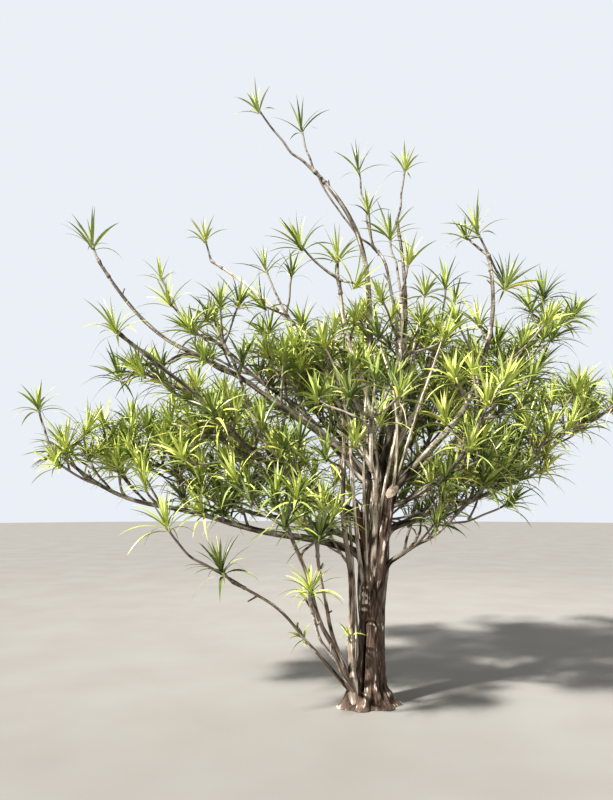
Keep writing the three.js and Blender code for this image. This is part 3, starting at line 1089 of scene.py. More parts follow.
class Bark(Enum):
    """The fibrous barks by where they grow, and the wood that shows where the bark has come off."""

    TRUNK = FibrousBark()
    # Younger than the trunk's: greyer, with fewer painted sun flecks
    BOUGH = FibrousBark("fibrous_bough_bark", "#292420", "#5e564e", "#878077", "#c6beb3", 0.7, (10, 80))
    # On the inner boughs and the upright stems: the bough bark made almost white, painted sunlight
    PALE = FibrousBark("fibrous_stem_bark", "#524840", "#b3a696", "#dacfc0", "#f8f2e7", 0.95, (10, 90))
    # On the stems and shoots of the root crown: rubbed pale and dusty
    WORN = FibrousBark("fibrous_side_stem_bark", "#3a312a", "#85766a", "#ab9c8e", "#f2e8da", 0.95, (9, 80))
    # Bare stem wood, stained by the tree's red resin
    RED_WOOD = FibrousBark("peeled_red_wood", "#2a1a12", "#51382b", "#6c5040", "#87705f", 0.4, (8, 90))


LEAF_FINISHES = {
    LeafTone.YOUNG: LivingLeaf("young_strap_leaf", "#c8cf74", "#dfe4a4", "#aab45a"),
    LeafTone.BRIGHT: LivingLeaf("bright_strap_leaf", "#b6c161", "#d4db94", "#949f4b"),
    LeafTone.GREEN: LivingLeaf("green_strap_leaf", "#96a556", "#bac580", "#738240"),
    LeafTone.DEEP: LivingLeaf("deep_strap_leaf", "#667540", "#8b9962", "#48552d"),
    LeafTone.YELLOWING: LivingLeaf("yellowing_strap_leaf", "#cbc365", "#dcd78c", "#ada54d", 0.5),
    LeafTone.DRY: LivingLeaf("dry_strap_leaf", "#b3a388", "#cdbfa4", "#8b7b64", 0.75),
}


# The limbs


@dataclass
class Trunk:
    """The trunk: stems fused into one fluted column on a flared root crown.

    Attributes:
        height: Height of its fork in metres.
        lean: How far its top stands off its foot, along X and Y.
        stops: Its radius at places from 0 at the ground to 1 at the fork.
        flutes: Their number, depth and twist in degrees.
        lobes: Bearing, swell, width in degrees and height of each root lobe, in millimetres.
        stems: The fused stems that show low down: bearing at the fork, how far it turns
            towards the foot in degrees, radius and height of its lowest trace in millimetres.
        run: How far a bough's fused stem shows on the trunk's side, in metres.
        slot: Bearing, half width in degrees, depth and height in millimetres of the slot
            between the column and the stem beside it, darkened with painted shade.
        folds: Height in metres, bearing and sag of each fold across the trunk's bend.
        arch: Bearing, height and radius in metres of the arched scar under the folds.
        pale_side: Bearing of the side beside the bend that is painted paler, a painted sunlit strip.
        fibres: Seed, number round the trunk and spacing in metres of its fibres.
        lumps: The same of its lumps.
        knobs: The same of the knobs on its foot.
        splits: The same of its long splits.
        cracks: The same of its short cracks.
        clefts: The same of the clefts in its foot.
        sides: Corners round each ring.
        ring_step: Distance between rings in metres.
    """

    height: float = 1900 * MM
    lean: tuple[float, float] = (105 * MM, 10 * MM)
    stops: tuple[tuple[float, float], ...] = ((0, 0.128), (0.35, 0.104), (0.8, 0.122), (1, 0.074))
    flutes: tuple[int, float, float] = (5, 0.07, 40)
    lobes: tuple[tuple[float, float, float, float], ...] = (
        (192, 150, 34, 330),
        (248, 90, 22, 190),
        (318, 95, 24, 220),
        (10, 130, 26, 230),
        (75, 95, 26, 200),
        (128, 85, 24, 190),
    )
    stems: tuple[tuple[float, float, float, float], ...] = (
        (200, -14, 36, 560),
        (244, 8, 27, 820),
        (278, -10, 31, 700),
        (318, 14, 37, 640),
        (356, 8, 34, 760),
        (38, -12, 38, 620),
        (84, 10, 36, 800),
        (124, -8, 37, 700),
        (163, 12, 34, 820),
    )
    run: float = 0.62
    slot: tuple[float, float, float, float] = (238, 6, 30, 650)
    folds: tuple[Triple, ...] = (
        (0.9, 232, 0.05),
        (0.845, 224, 0.09),
        (0.78, 232, 0.07),
        (0.725, 226, 0.05),
    )
    arch: Triple = (263, 0.617, 0.036)
    pale_side: float = 224
    fibres: tuple[int, int, float] = (12, 90, 0.05)
    lumps: tuple[int, int, float] = (13, 9, 0.11)
    knobs: tuple[int, int, float] = (14, 23, 0.05)
    splits: tuple[int, int, float] = (21, 34, 0.2)
    cracks: tuple[int, int, float] = (22, 66, 0.11)
    clefts: tuple[int, int, float] = (23, 21, 0.26)
    sides: int = 220
    ring_step: float = 8 * MM

    def line(self) -> BezierLine:
        """Gives the trunk's line."""
        east, north = self.lean
        low, high = (0.0, 0.0, self.height / 3), (east * 0.75, north * 0.75, self.height * 2 / 3)
        return BezierLine([(0.0, 0.0, 0.0), low, high, (east, north, self.height)])

    def girth(self, place: np.ndarray, angle: np.ndarray) -> np.ndarray:
        """Gives the solid trunk's radius.

        Args:
            place: From 0 at the ground to 1 at the fork.
            angle: Radians round the trunk.

        Returns:
            The radius in metres.
        """
        radius = np.full(np.broadcast(place, angle).shape, self.stops[0][1])
        for (near, low), (far, high) in zip(self.stops, self.stops[1:]):
            radius = radius + (high - low) * eased(place, near, far)
        count, depth, twist = self.flutes
        radius = radius * (1 + depth * np.cos(count * (angle + math.radians(twist) * place)))
        for bearing, swell, width, height in self.lobes:
            fade = np.maximum(0, 1 - place * self.height / (height * MM))
            lobe = bell(off_bearing(angle, bearing), math.radians(width))
            radius = radius + swell * MM * lobe * fade**2
        return radius

    def core(self, level: np.ndarray) -> np.ndarray:
        """Gives how far the column draws in behind its fused stems, as a share of its girth."""
        return blend(1.0, 0.74, eased(level, 0.95, 1.55))

    def outer_stems(self, place: np.ndarray, angle: np.ndarray) -> np.ndarray:
        """Gives how far the fused stems stand out.

        Args:
            place: From 0 at the ground to 1 at the fork.
            angle: Radians round the trunk.

        Returns:
            The reach in metres of the outermost one, 0 where there is none.
        """
        level = place * self.height
        girth = self.girth(place, angle)
        best = np.zeros(girth.shape)
        for bearing, drift, radius, lowest in self.stems:
            off = angle - (math.radians(bearing) + math.radians(drift) * (1 - place))
            stand = eased(level, lowest * MM, self.height * 0.8)
            out = girth * self.core(level) - radius * MM * blend(1.4, 0.6, stand)
            inside = (radius * MM) ** 2 - (out * np.sin(off)) ** 2
            reach = out * np.cos(off) + np.sqrt(np.maximum(inside, 0.0))
            best = np.maximum(best, np.where((inside > 0) & (np.cos(off) > 0), reach, 0.0))
        return best

    def strand(self, limb: Limb, bearing: float) -> tuple[np.ndarray, float]:
        """Gives the course of the fused stem that a bough grows on from: up the trunk, then out.

        Args:
            limb: The bough.
            bearing: Where the stem comes out of the trunk's side, in degrees.

        Returns:
            Its points, and how far along the bough it joins its line, in metres.
        """
        length = limb.line.length()
        # The stem joins the bough's line just clear of the trunk, and turns towards it on its way up
        joins = min(limb.clear + 0.1, 0.4 * length)
        joint, ahead = limb.line.at(joins / length), limb.line.heading(joins / length)
        axis = self.line()
        middle = axis.at(min(joint[2] / self.height, 1.0))
        leaves = math.atan2(joint[1] - middle[1], joint[0] - middle[0])
        gap = math.remainder(leaves - math.radians(bearing), 2 * math.pi)
        high = min(joint[2] - 0.15, 0.94 * self.height)
        level = np.linspace(high - self.run, high, 40)
        place = level / self.height
        turn = math.radians(bearing) + 0.35 * gap * eased(level, level[0], high)
        depth = limb.root_radius * blend(1.15, 0.3, eased(level, level[0], level[0] + 0.45))
        out = self.girth(place, turn) * self.core(level) - depth
        run = axis.points(place) + out[:, None] * np.stack([np.cos(turn), np.sin(turn), 0 * turn], axis=1)
        rise = unit(run[-1] - run[-2])
        hold = 0.42 * float(np.linalg.norm(joint - run[-1]))
        bend = BezierLine([run[-1], run[-1] + rise * hold, joint - ahead * hold, joint])
        return np.concatenate([run, bend.points(np.linspace(0, 1, 20))[1:]]), joins

    def uneven(self, kind: tuple[int, int, float], angle: np.ndarray, level: np.ndarray) -> np.ndarray:
        """Reads one kind of unevenness, from -1 to 1, at angles round the trunk and heights."""
        return BarkLumps(*kind, self.height).at(angle, level)

    def crevices(self, kind: tuple[int, int, float], angle: np.ndarray, level: np.ndarray) -> np.ndarray:
        """Gives narrow upright crevices.

        Args:
            kind: Their seed, number round the trunk and spacing.
            angle: Radians round the trunk.
            level: Height over the ground in metres.

        Returns:
            The share of their depth, from 0 between them to 1 in their middle.
        """
        seed, around, spacing = kind
        course = self.uneven(kind, angle, level)
        fading = self.uneven((seed + 40, around // 2, spacing), angle, level)
        return np.clip(1 - 3.2 * np.abs(course), 0, 1) ** 1.5 * np.clip(0.55 + 0.8 * fading, 0, 1)

    def slotted(self, angle: np.ndarray, level: np.ndarray) -> np.ndarray:
        """Gives the slot between the column and the stem beside it.

        Args:
            angle: Radians round the trunk.
            level: Height over the ground in metres.

        Returns:
            The share of its depth, 1 in its bottom.
        """
        bearing, width, _, height = self.slot
        across = np.exp(-((off_bearing(angle, bearing) / math.radians(width)) ** 4))
        return across * (1 - eased(level, height * MM - 0.12, height * MM)) * eased(level, 0.02, 0.16)

    def fused(self, core: np.ndarray, stems: np.ndarray, crisp: np.ndarray) -> np.ndarray:
        """Joins the stems to the core, rounded over the width that crisp gives."""
        share = np.clip(0.5 + 0.5 * (stems - core) / crisp, 0, 1)
        return blend(core, stems, share) + crisp * share * (1 - share)

    def creased(self, angle: np.ndarray, level: np.ndarray) -> tuple[np.ndarray, np.ndarray]:
        """Gives the folds of the bark across the trunk's bend, and the arched scar under them.

        Args:
            angle: Radians round the trunk.
            level: Height over the ground in metres.

        Returns:
            The height of the folds and of the scar in metres, below 0 in a groove.
        """
        folds = np.zeros_like(angle)
        for height, bearing, sag in self.folds:
            off = off_bearing(angle, bearing)
            over, wide = level - (height - sag * off**2), bell(off, 0.42)
            folds = folds - 0.006 * (bell(over, 0.009) * wide) + 0.008 * (bell(over - 0.026, 0.017) * wide)
        bearing, height, radius = self.arch
        off = off_bearing(angle, bearing)
        rim = np.hypot(0.11 * off, np.maximum(level - height, 0) * 1.25) - radius
        right_leg = np.where(off < 0, 1.0, eased(level, 0.53, 0.62))
        reach = eased(level, 0.06, 0.2) * right_leg * (np.abs(off) < 1.2)
        scar = 0.011 * bell(rim - 0.004, 0.008) * reach
        around = 0.013 * bell(rim - 0.023, 0.009) * reach
        return folds, scar - around

    def build(self, bark: bpy.types.Material) -> bpy.types.Object:
        """Makes the trunk with its relief.

        Args:
            bark: Its finish.

        Returns:
            The trunk's piece.
        """
        place = np.linspace(0, 1, int(self.height / self.ring_step)) ** 1.12
        places, angles = unrolled(place, self.sides)
        level = places * self.height
        footing = 1 - eased(level, 0.0, 0.34)
        rough = blend(0.4, 1.0, eased(level, 0.62, 0.95))
        column = self.girth(places, angles) * self.core(level)
        stems = self.outer_stems(places, angles)
        radius = self.fused(column, stems, blend(0.02, 0.005, eased(level, 0.6, 1.3)))
        # Painted shade: the relief is darker in the recesses between the fused stems and paler where they
        # stand out
        stands = 0.3 + 0.6 * np.clip((radius - column) / 0.024, 0, 1)
        recess_shade = blend(0.42, stands, eased(level, 0.6, 1.1))
        splits = self.crevices(self.splits, angles + 0.5 * level, level)
        cracks = self.crevices(self.cracks, angles, level)
        clefts = self.crevices(self.clefts, angles, level) * footing
        fibres = self.uneven(self.fibres, angles, level)
        lumps = self.uneven(self.lumps, angles, level)
        knobs = self.uneven(self.knobs, angles, level) * footing
        (folds, scar), slot = self.creased(angles, level), self.slotted(angles, level)
        # Splits, cracks, clefts and the slot cut in; fibres, lumps and knobs stand out, in metres
        radius = radius - (0.008 * splits + 0.004 * cracks) * rough - 0.042 * clefts + 0.0016 * fibres
        radius = radius + 0.005 * lumps + 0.018 * knobs + folds + scar - self.slot[2] * MM * slot
        # The relief carries the same forms to the finish: dark where they cut in, pale where they stand,
        # partly the bark's own colour and partly painted shade and painted highlight
        relief = recess_shade - (0.7 * splits + 0.45 * cracks) * rough - 0.9 * clefts + 0.2 * fibres
        # Painted sunlight: a pale strip up the side beside the bend
        painted_sunlight = 0.2 * bell(off_bearing(angles, self.pale_side), 0.4) * eased(level, 0.62, 0.72)
        # Painted shade in the grooves of the folds and round the arch, painted highlight on their raised
        # rims
        marks = 22 * np.minimum(folds + scar, 0) + 34 * np.maximum(folds + scar, 0)
        marks += painted_sunlight * (1 - eased(level, 1.1, 1.3))
        # The slot between the column and the stem beside it is darkened with painted shade
        relief = relief + 0.14 * lumps + 0.1 + 0.3 * knobs - 0.8 * slot + marks
        # The column closes to a dome at the fork, and its foot is cut flat at the ground
        closing = np.sqrt(np.clip((1 - places) / 0.06, 0.02, 1))
        skin = tube(self.line().points(place), radius * closing, relief)
        skin[0][: self.sides, 2] = 0.0
        return joined("trunk_bark", bark, [skin])


@dataclass
class Skeleton:
    """Every limb, shoot and rosette of the tree, grown by the rule of the solids.

    Attributes:
        trunk: The trunk.
        space: The low and high corners of the solids' box.
        bend: How far a bough keeps its launch and its rise, as a share of its chord.
        crown_ring: Reach and height of the ring where stems rise beside the trunk.
        stem: Length of a tuft's common stem in metres.
        shoot_rise: How far fanned shoots turn upwards, as a share of their length.
        shoot_sag: How far a shoot's middle hangs below its chord, as a share of its length.
        shoot_radii: Least radius at a shoot's root, and the radius at its tip, in metres.
        fork_places: Where along a shoot it forks once more.
        fork_radius: Radius at the root of these forks, in metres.
        thin_radii: Radii at root and tip of a thin bare limb, in metres.
        spur_radii: The same of a leafy spur.
        stub_radii: The same of a dead stub.
        closest: Least distance between two rosettes' hearts in metres.
        dome: Height of the dense crown over its middle, and its fall a metre out, in metres.
        skirt: Height of the dense crown's underside at its middle, and its rise a metre out.
        inset: How far rosettes keep inside the sides of the box, in metres.
        view_of_trunk: The front in which no shoot hides the trunk: its middle along X, its half
            width, how far back it goes along Y and its height, in metres.
        view_of_stems: The front over it, where the stems show, in the same numbers.
        thinned: How much farther apart rosettes stand there.
        viewer: The place in front of the tree that the long boughs show from, in metres.
        long_boughs: Boughs that no grown shoot hides, each with the shares of its length that show.
        view_of_boughs: Half width of the clear strip along them in metres.
        bare: Limbs without side shoots.
        limbs: Every limb by name, once grown.
        shoots: Every shoot.
        rosettes: Every rosette.
    """

    trunk: Trunk
    space: tuple[Vector, Vector]
    bend: float = 0.4
    crown_ring: tuple[float, float] = (165, 120)
    stem: float = 70 * MM
    shoot_rise: float = 0.35
    shoot_sag: float = 0.12
    shoot_radii: tuple[float, float] = (11 * MM, 8.5 * MM)
    fork_places: Triple = (0.34, 0.52, 0.7)
    fork_radius: float = 9.5 * MM
    thin_radii: tuple[float, float] = (13 * MM, 9 * MM)
    spur_radii: tuple[float, float] = (7 * MM, 6 * MM)
    stub_radii: tuple[float, float] = (7.5 * MM, 6 * MM)
    closest: float = 0.122
    dome: tuple[float, float] = (3.36, 0.1)
    skirt: tuple[float, float] = (1.32, 0.06)
    inset: float = 0.3
    view_of_trunk: tuple[float, float, float, float] = (0.06, 0.36, 0.1, 1.95)
    view_of_stems: tuple[float, float, float, float] = (0.12, 0.42, -0.1, 3.05)
    thinned: float = 2.1
    viewer: Triple = (-0.516, -5.4, 1.6)
    long_boughs: tuple[tuple[str, float, float], ...] = (
        ("mid_left_bough", 0.2, 0.95),
        ("left_twin_bough", 0.15, 0.95),
        ("right_arching_bough", 0.35, 0.9),
    )
    view_of_boughs: float = 0.16
    bare: tuple[str, ...] = ("trunk", "low_shoot", "foot_shoot", "front_fan_stem", "back_fan_stem")
    limbs: dict[str, Limb] = field(default_factory=dict)
    shoots: list[Shoot] = field(default_factory=list)
    rosettes: list[Rosette] = field(default_factory=list)

    def grow(self) -> None:
        """Grows the limbs, their tufts, and the finer shoots that carry the rule on."""
        self.grow_limbs()
        tufts = self.grow_tufts()
        self.grow_thin_limbs()
        self.grow_to(FACE_ROSETTES, Seed.FACE_ROSETTES)
        self.fork_again(tufts)
        self.fork_again(self.grow_limb_shoots())
        self.grow_spurs()
        self.leave_stubs()
        self.grow_to(BACK_ROSETTES, Seed.BACK_ROSETTES)
        self.grow_upright_stems()

    def grow_limbs(self) -> None:
        """Grows the trunk's line and every bough."""
        self.limbs["trunk"] = Limb(self.trunk.line(), 0.12, 0.1)
        for index, row in enumerate(BOUGHS):
            parent = self.limbs.get(row.parent)
            if parent:
                root = parent.line.at(row.place)
                parent.knots.append(row.place)
            else:
                root = polar(self.crown_ring[0], row.place, self.crown_ring[1])
            tip = polar(*row.tip)
            chord = tip - root
            hold = self.bend * float(np.linalg.norm(chord))
            launch, arrival = (lifted(chord, angle) * hold for angle in row.angles)
            line = WanderingLine([root, root + launch, tip - arrival, tip], phase=index)
            limb = Limb(line, row.radii[0] * MM, row.radii[1] * MM)
            if parent:
                limb.clear = self.leaving(limb, parent)
            else:
                sunk = np.linspace(-0.085, 0, 9)[:, None]
                limb.lead = root + sunk * line.heading(0.0)
            if row.parent == "trunk":
                limb.lead, limb.joins = self.trunk.strand(limb, row.fused)
            self.limbs[row.name] = limb

    def leaving(self, limb: Limb, parent: Limb) -> float:
        """Gives how far along a limb stands clear of its parent, in metres.

        Args:
            limb: The limb.
            parent: The limb that it grows from.

        Returns:
            The distance from its root.
        """
        places = np.linspace(0, 1, 120)
        along = np.linspace(0, 1, 160)
        away = limb.line.points(places)[:, None] - parent.line.points(along)[None]
        inside = np.linalg.norm(away, axis=2) < np.asarray(parent.radius(along))[None]
        last = int(np.flatnonzero(inside.any(axis=1)).max(initial=0))
        return float(places[last]) * limb.line.length()

    def grow_thin_limbs(self) -> None:
        """Grows the thin bare limbs that cross in front of the boughs at the top."""
        for places in THIN_LIMBS:
            self.shoots.append(Shoot(BezierLine([polar(*place) for place in places]), *self.thin_radii))

    def grow_upright_stems(self) -> None:
        """Grows the slender stems that rise beside the trunk and through the crown's middle."""
        for number, (leafy, radii, places) in enumerate(UPRIGHT_STEMS):
            line = BezierLine([polar(*place) for place in places])
            limb = Limb(line, radii[0] * MM, radii[1] * MM)
            self.limbs[f"upright_stem_{number + 1}"] = limb
            if leafy:
                shoot = Shoot(line, limb.root_radius, limb.tip_radius)
                self.top_with_leaves(shoot, Seed.UPRIGHT_STEMS + number)

    def fanned(self, row: TuftRow, forked: np.ndarray, line: np.ndarray) -> list[np.ndarray]:
        """Deals a tuft's rosettes out round the line of its bough by its seed.

        Args:
            row: The tuft.
            forked: Where its shoots part.
            line: The bough's direction there.

        Returns:
            The shoots' ends.
        """
        chances = SeededStream(row.seed)
        first_turn = chances.draw(0, 360)
        ends = []
        for i in range(row.shoots):
            turn = first_turn + GOLDEN_ANGLE * i + 30 * (chances.draw() - 0.5)
            lean = row.spread * chances.draw(0.55, 1.15)
            length = row.reach * MM * chances.draw(0.7, 1.05)
            heading = leaning(line, lean, turn)
            ends.append(forked + heading * length + UP * self.shoot_rise * length * (1 - heading[2]))
        return ends

    def grow_tufts(self) -> list[Shoot]:
        """Grows each tuft's stem, shoots and rosettes.

        Returns:
            The tufts' leafy shoots.
        """
        leafy = []
        for row in TUFTS:
            limb = self.limbs[row.limb]
            line = limb.line.heading(1.0)
            start = limb.line.at(1.0) + line * GAP
            forked = start + line * self.stem
            ends = [polar(*place) for place in row.rosettes] or self.fanned(row, forked, line)
            stem = BezierLine([limb.line.at(0.97), start, forked])
            self.shoots.append(Shoot(stem, limb.tip_radius, limb.tip_radius * 0.86))
            lengths = [float(np.linalg.norm(end - forked)) for end in ends]
            for number, (end, length) in enumerate(zip(ends, lengths)):
                middle = (forked + end) / 2 - UP * self.shoot_sag * length
                leading = length == max(lengths)
                root = max(self.shoot_radii[0], limb.tip_radius * (0.82 if leading else 0.62))
                shoot = Shoot(BezierLine([forked, middle, end]), root, self.shoot_radii[1])
                self.shoots.append(shoot)
                leafy.append(shoot)
                open_sky = bool(row.rosettes) and end[2] > self.ceiling(end) - 0.15
                self.top_with_leaves(shoot, row.seed * 100 + number, open_sky)
        return leafy

    def ceiling(self, place: np.ndarray) -> float:
        """Gives how high the dense crown reaches at a place."""
        return self.dome[0] - self.dome[1] * float(np.hypot(place[0], place[1]))

    def top_with_leaves(self, shoot: Shoot, seed: int, open_sky: bool = False, size: float = 1.0) -> None:
        """Puts a rosette on a shoot's end, with a deeper tone, painted shade, where it stands in the
        crown's shade.

        Args:
            shoot: The shoot.
            seed: The seed of the rosette.
            open_sky: Whether it stands by itself over the crown.
            size: Its leaves' length, as a share of the full length.
        """
        chances = SeededStream(seed + Seed.ROSETTES, 1)
        heart, heading = shoot.line.at(1.0), shoot.line.heading(1.0)
        # Leaves open upwards, the more so where the shoot hangs down
        axis = unit(heading + (0.75 + 2 * max(0.0, -float(heading[2]))) * UP)
        reach = float(np.hypot(heart[0], heart[1]))
        shade = float(eased(self.ceiling(heart) - heart[2], 0.25, 1.3) * (1 - eased(reach, 0.6, 1.9)))
        chance = chances.draw()
        habit = OPEN_SKY if open_sky else IN_CROWN
        leaves, size = int(chances.draw(*habit.leaves)), size * chances.draw(*habit.sizes)
        opening = habit.opening
        # Painted light and shade: rosettes in the open sky take only bright and green, those deep in the
        # crown take the deep tone more often
        if open_sky:
            tone = LeafTone.BRIGHT if chance < 0.35 else LeafTone.GREEN
        elif chance < 0.14 + 0.4 * shade:
            tone = LeafTone.DEEP
        else:
            tone = LeafTone.GREEN if chance < 0.6 else LeafTone.BRIGHT
        if seed in RICH_ROSETTES:
            leaves, size, opening = RICH_ROSETTES[seed], RICH_SIZE, RICH_OPENING
        self.rosettes.append(Rosette(heart, axis, leaves, size, tone, seed, habit.limpness, opening))

    def in_view(self, heart: np.ndarray, view: tuple[float, float, float, float]) -> bool:
        """Says whether a rosette's heart lies in one of the views."""
        middle, half, back, top = view
        return abs(heart[0] - middle) < half and heart[1] < back and heart[2] < top

    def has_room(self, heart: np.ndarray) -> bool:
        """Says whether a rosette would lie in the dense crown and clear of the others.

        Args:
            heart: The rosette's heart.

        Returns:
            True where it fits.
        """
        low, high = self.space
        ceiling = self.ceiling(heart)
        inside = all(low[i] + self.inset < heart[i] < high[i] - self.inset for i in (0, 1))
        over = heart[2] > self.skirt[0] + self.skirt[1] * float(np.hypot(heart[0], heart[1]))
        if self.in_view(heart, self.view_of_trunk) or self.hides_bough(heart):
            return False
        near = min(float(np.linalg.norm(heart - other.heart)) for other in self.rosettes)
        # The crown thins out over its uppermost half metre
        thinning = 1 + 0.6 * float(eased(heart[2], ceiling - 0.5, ceiling))
        if self.in_view(heart, self.view_of_stems):
            thinning = self.thinned
        return inside and heart[2] < ceiling and over and near > self.closest * thinning

    def hides_bough(self, heart: np.ndarray) -> bool:
        """Says whether a rosette would stand before a long bough where it shows.

        Args:
            heart: The rosette's heart.

        Returns:
            True where it would hide the bough.
        """
        sight = heart - np.array(self.viewer)
        for name, first, last in self.long_boughs:
            seen = self.limbs[name].line.points(np.linspace(first, last, 60)) - np.array(self.viewer)
            # The bough as it shows in the upright plane that the heart lies in
            thrown = seen * (sight[1] / seen[:, 1])[:, None]
            apart = np.hypot(thrown[:, 0] - sight[0], thrown[:, 2] - sight[2])
            if np.any((seen[:, 1] > sight[1]) & (apart < self.view_of_boughs)):
                return True
        return False

    def grow_to(self, rows: Sequence[Triple], first_seed: int) -> None:
        """Grows the shoots that end in given rosettes, each from the nearest limb.

        Args:
            rows: Reach, bearing and height of each rosette.
            first_seed: The seed of the first rosette.
        """
        carriers = [
            (limb, place, limb.line.at(place), limb.line.heading(place))
            for name, limb in self.limbs.items()
            if name != "trunk"
            for place in map(float, np.linspace(0.3, 0.98, 24))
        ]
        for number, row in enumerate(rows):
            heart = polar(*row)
            costs = []
            # The best carrier is near but not touching, points the right way and lies lower
            for limb, place, start, ahead in carriers:
                way = heart - start
                length = float(np.linalg.norm(way))
                bend = 1 - float(ahead @ unit(way))
                sinks = max(0.0, float(start[2] - heart[2] + 0.05))
                costs.append(length + 0.22 * bend + 1.2 * sinks + max(0.0, 0.2 - length))
            limb, place, start, ahead = carriers[int(np.argmin(costs))]
            way = unit(heart - start)
            hold = float(np.linalg.norm(heart - start)) * 0.35
            leave, arrive = unit(ahead + 0.9 * way), unit(way + 0.9 * UP)
            line = BezierLine([start, start + leave * hold, heart - arrive * hold, heart])
            root = min(float(limb.radius(place)) * 0.7, 15 * MM)
            shoot = Shoot(line, max(root, self.shoot_radii[0]), self.shoot_radii[1])
            limb.knots.append(place)
            self.shoots.append(shoot)
            self.top_with_leaves(shoot, first_seed + number, size=1.06)

    def fork_again(self, parents: Sequence[Shoot]) -> None:
        """Forks shoots once more, inside the dense crown.

        Args:
            parents: The leafy shoots that may fork.
        """
        for number, parent in enumerate(parents):
            seed = Seed.FORKS + 7 * number + len(self.shoots)
            chances = SeededStream(seed, 1)
            turn = chances.draw(0, 360)
            length = parent.line.length()
            for step, place in enumerate(self.fork_places):
                place += chances.draw(-0.06, 0.06)
                turn += GOLDEN_ANGLE + chances.draw(-15, 15)
                reach = max(0.17, length * chances.draw(0.45, 0.8))
                lean = chances.draw(32, 56)
                self.side_shoot(parent.line, place, turn, lean, reach, self.fork_radius, 10 * seed + step)

    def grow_limb_shoots(self) -> list[Shoot]:
        """Grows side shoots along the outer part of each bough.

        Returns:
            The shoots that grew.
        """
        grown = []
        for number, (name, limb) in enumerate(self.limbs.items()):
            if name in self.bare:
                continue
            chances = SeededStream(Seed.LIMB_SHOOTS + number, 1)
            turn = chances.draw(0, 360)
            length = limb.line.length()
            place = 0.3 + 0.08 * chances.draw()
            while place < 0.98:
                turn += GOLDEN_ANGLE + chances.draw(-20, 20)
                reach = chances.draw(0.2, 0.5)
                seed = Seed.LIMB_ROSETTES + 100 * number + int(100 * place)
                root = min(float(limb.radius(place)) * 0.6, 13 * MM)
                shoot = self.side_shoot(limb.line, place, turn, chances.draw(40, 68), reach, root, seed)
                if shoot:
                    limb.knots.append(place)
                    grown.append(shoot)
                place += chances.draw(0.07, 0.14) / length
        return grown

    def side_shoot(
        self,
        line: BezierLine,
        place: float,
        turn: float,
        lean: float,
        reach: float,
        root: float,
        seed: int,
    ) -> Shoot | None:
        """Grows one side shoot with its rosette, where there is room for it.

        Args:
            line: The line that it leaves.
            place: Where it leaves.
            turn: Which way round, in degrees.
            lean: How far it leans off the line, in degrees.
            reach: Its length in metres.
            root: Its radius at the root in metres.
            seed: The seed of its rosette.

        Returns:
            The shoot, or nothing where there is no room.
        """
        start = line.at(place)
        heading = unit(leaning(line.heading(place), lean, turn) + 0.35 * UP)
        end = start + heading * reach + UP * self.shoot_rise * reach * (1 - heading[2])
        if heading[2] < -0.1 or not self.has_room(end):
            return None
        middle = (start + end) / 2 - UP * self.shoot_sag * reach
        shoot = Shoot(BezierLine([start, middle, end]), root, self.shoot_radii[1])
        self.shoots.append(shoot)
        self.top_with_leaves(shoot, seed)
        return shoot

    def grow_spurs(self) -> None:
        """Grows the small leafy spurs low on the stems."""
        for number, (name, place, length) in enumerate(SPURS):
            limb = self.limbs[name]
            out = unit(lifted(polar(1000, 250 - 35 * number, 0), 20))
            begin = limb.line.at(place) + out * float(limb.radius(place)) * 0.7
            end = begin + unit(out + 0.8 * UP + 0.2 * limb.line.heading(place)) * length * MM
            line = BezierLine([begin, begin + out * length * MM * 0.4, end])
            self.shoots.append(Shoot(line, *self.spur_radii))
            seed = Seed.SPURS + number
            self.rosettes.append(Rosette(end, unit(end - begin), 9, 0.5, LeafTone.BRIGHT, seed))

    def leave_stubs(self) -> None:
        """Leaves the short dead stubs of broken shoots along the boughs."""
        for number, (name, limb) in enumerate(self.limbs.items()):
            if name == "trunk":
                continue
            chances = SeededStream(Seed.DEAD_STUBS + number, 1)
            for place in (chances.draw(0.45, 0.7), chances.draw(0.8, 0.98)):
                start = limb.line.at(place)
                heading = leaning(limb.line.heading(place), chances.draw(30, 60), chances.draw(0, 360))
                end = start + heading * (float(limb.radius(place)) + chances.draw(0.03, 0.08))
                line = BezierLine([start, (start + end) / 2, end])
                self.shoots.append(Shoot(line, *self.stub_radii, cut=True))


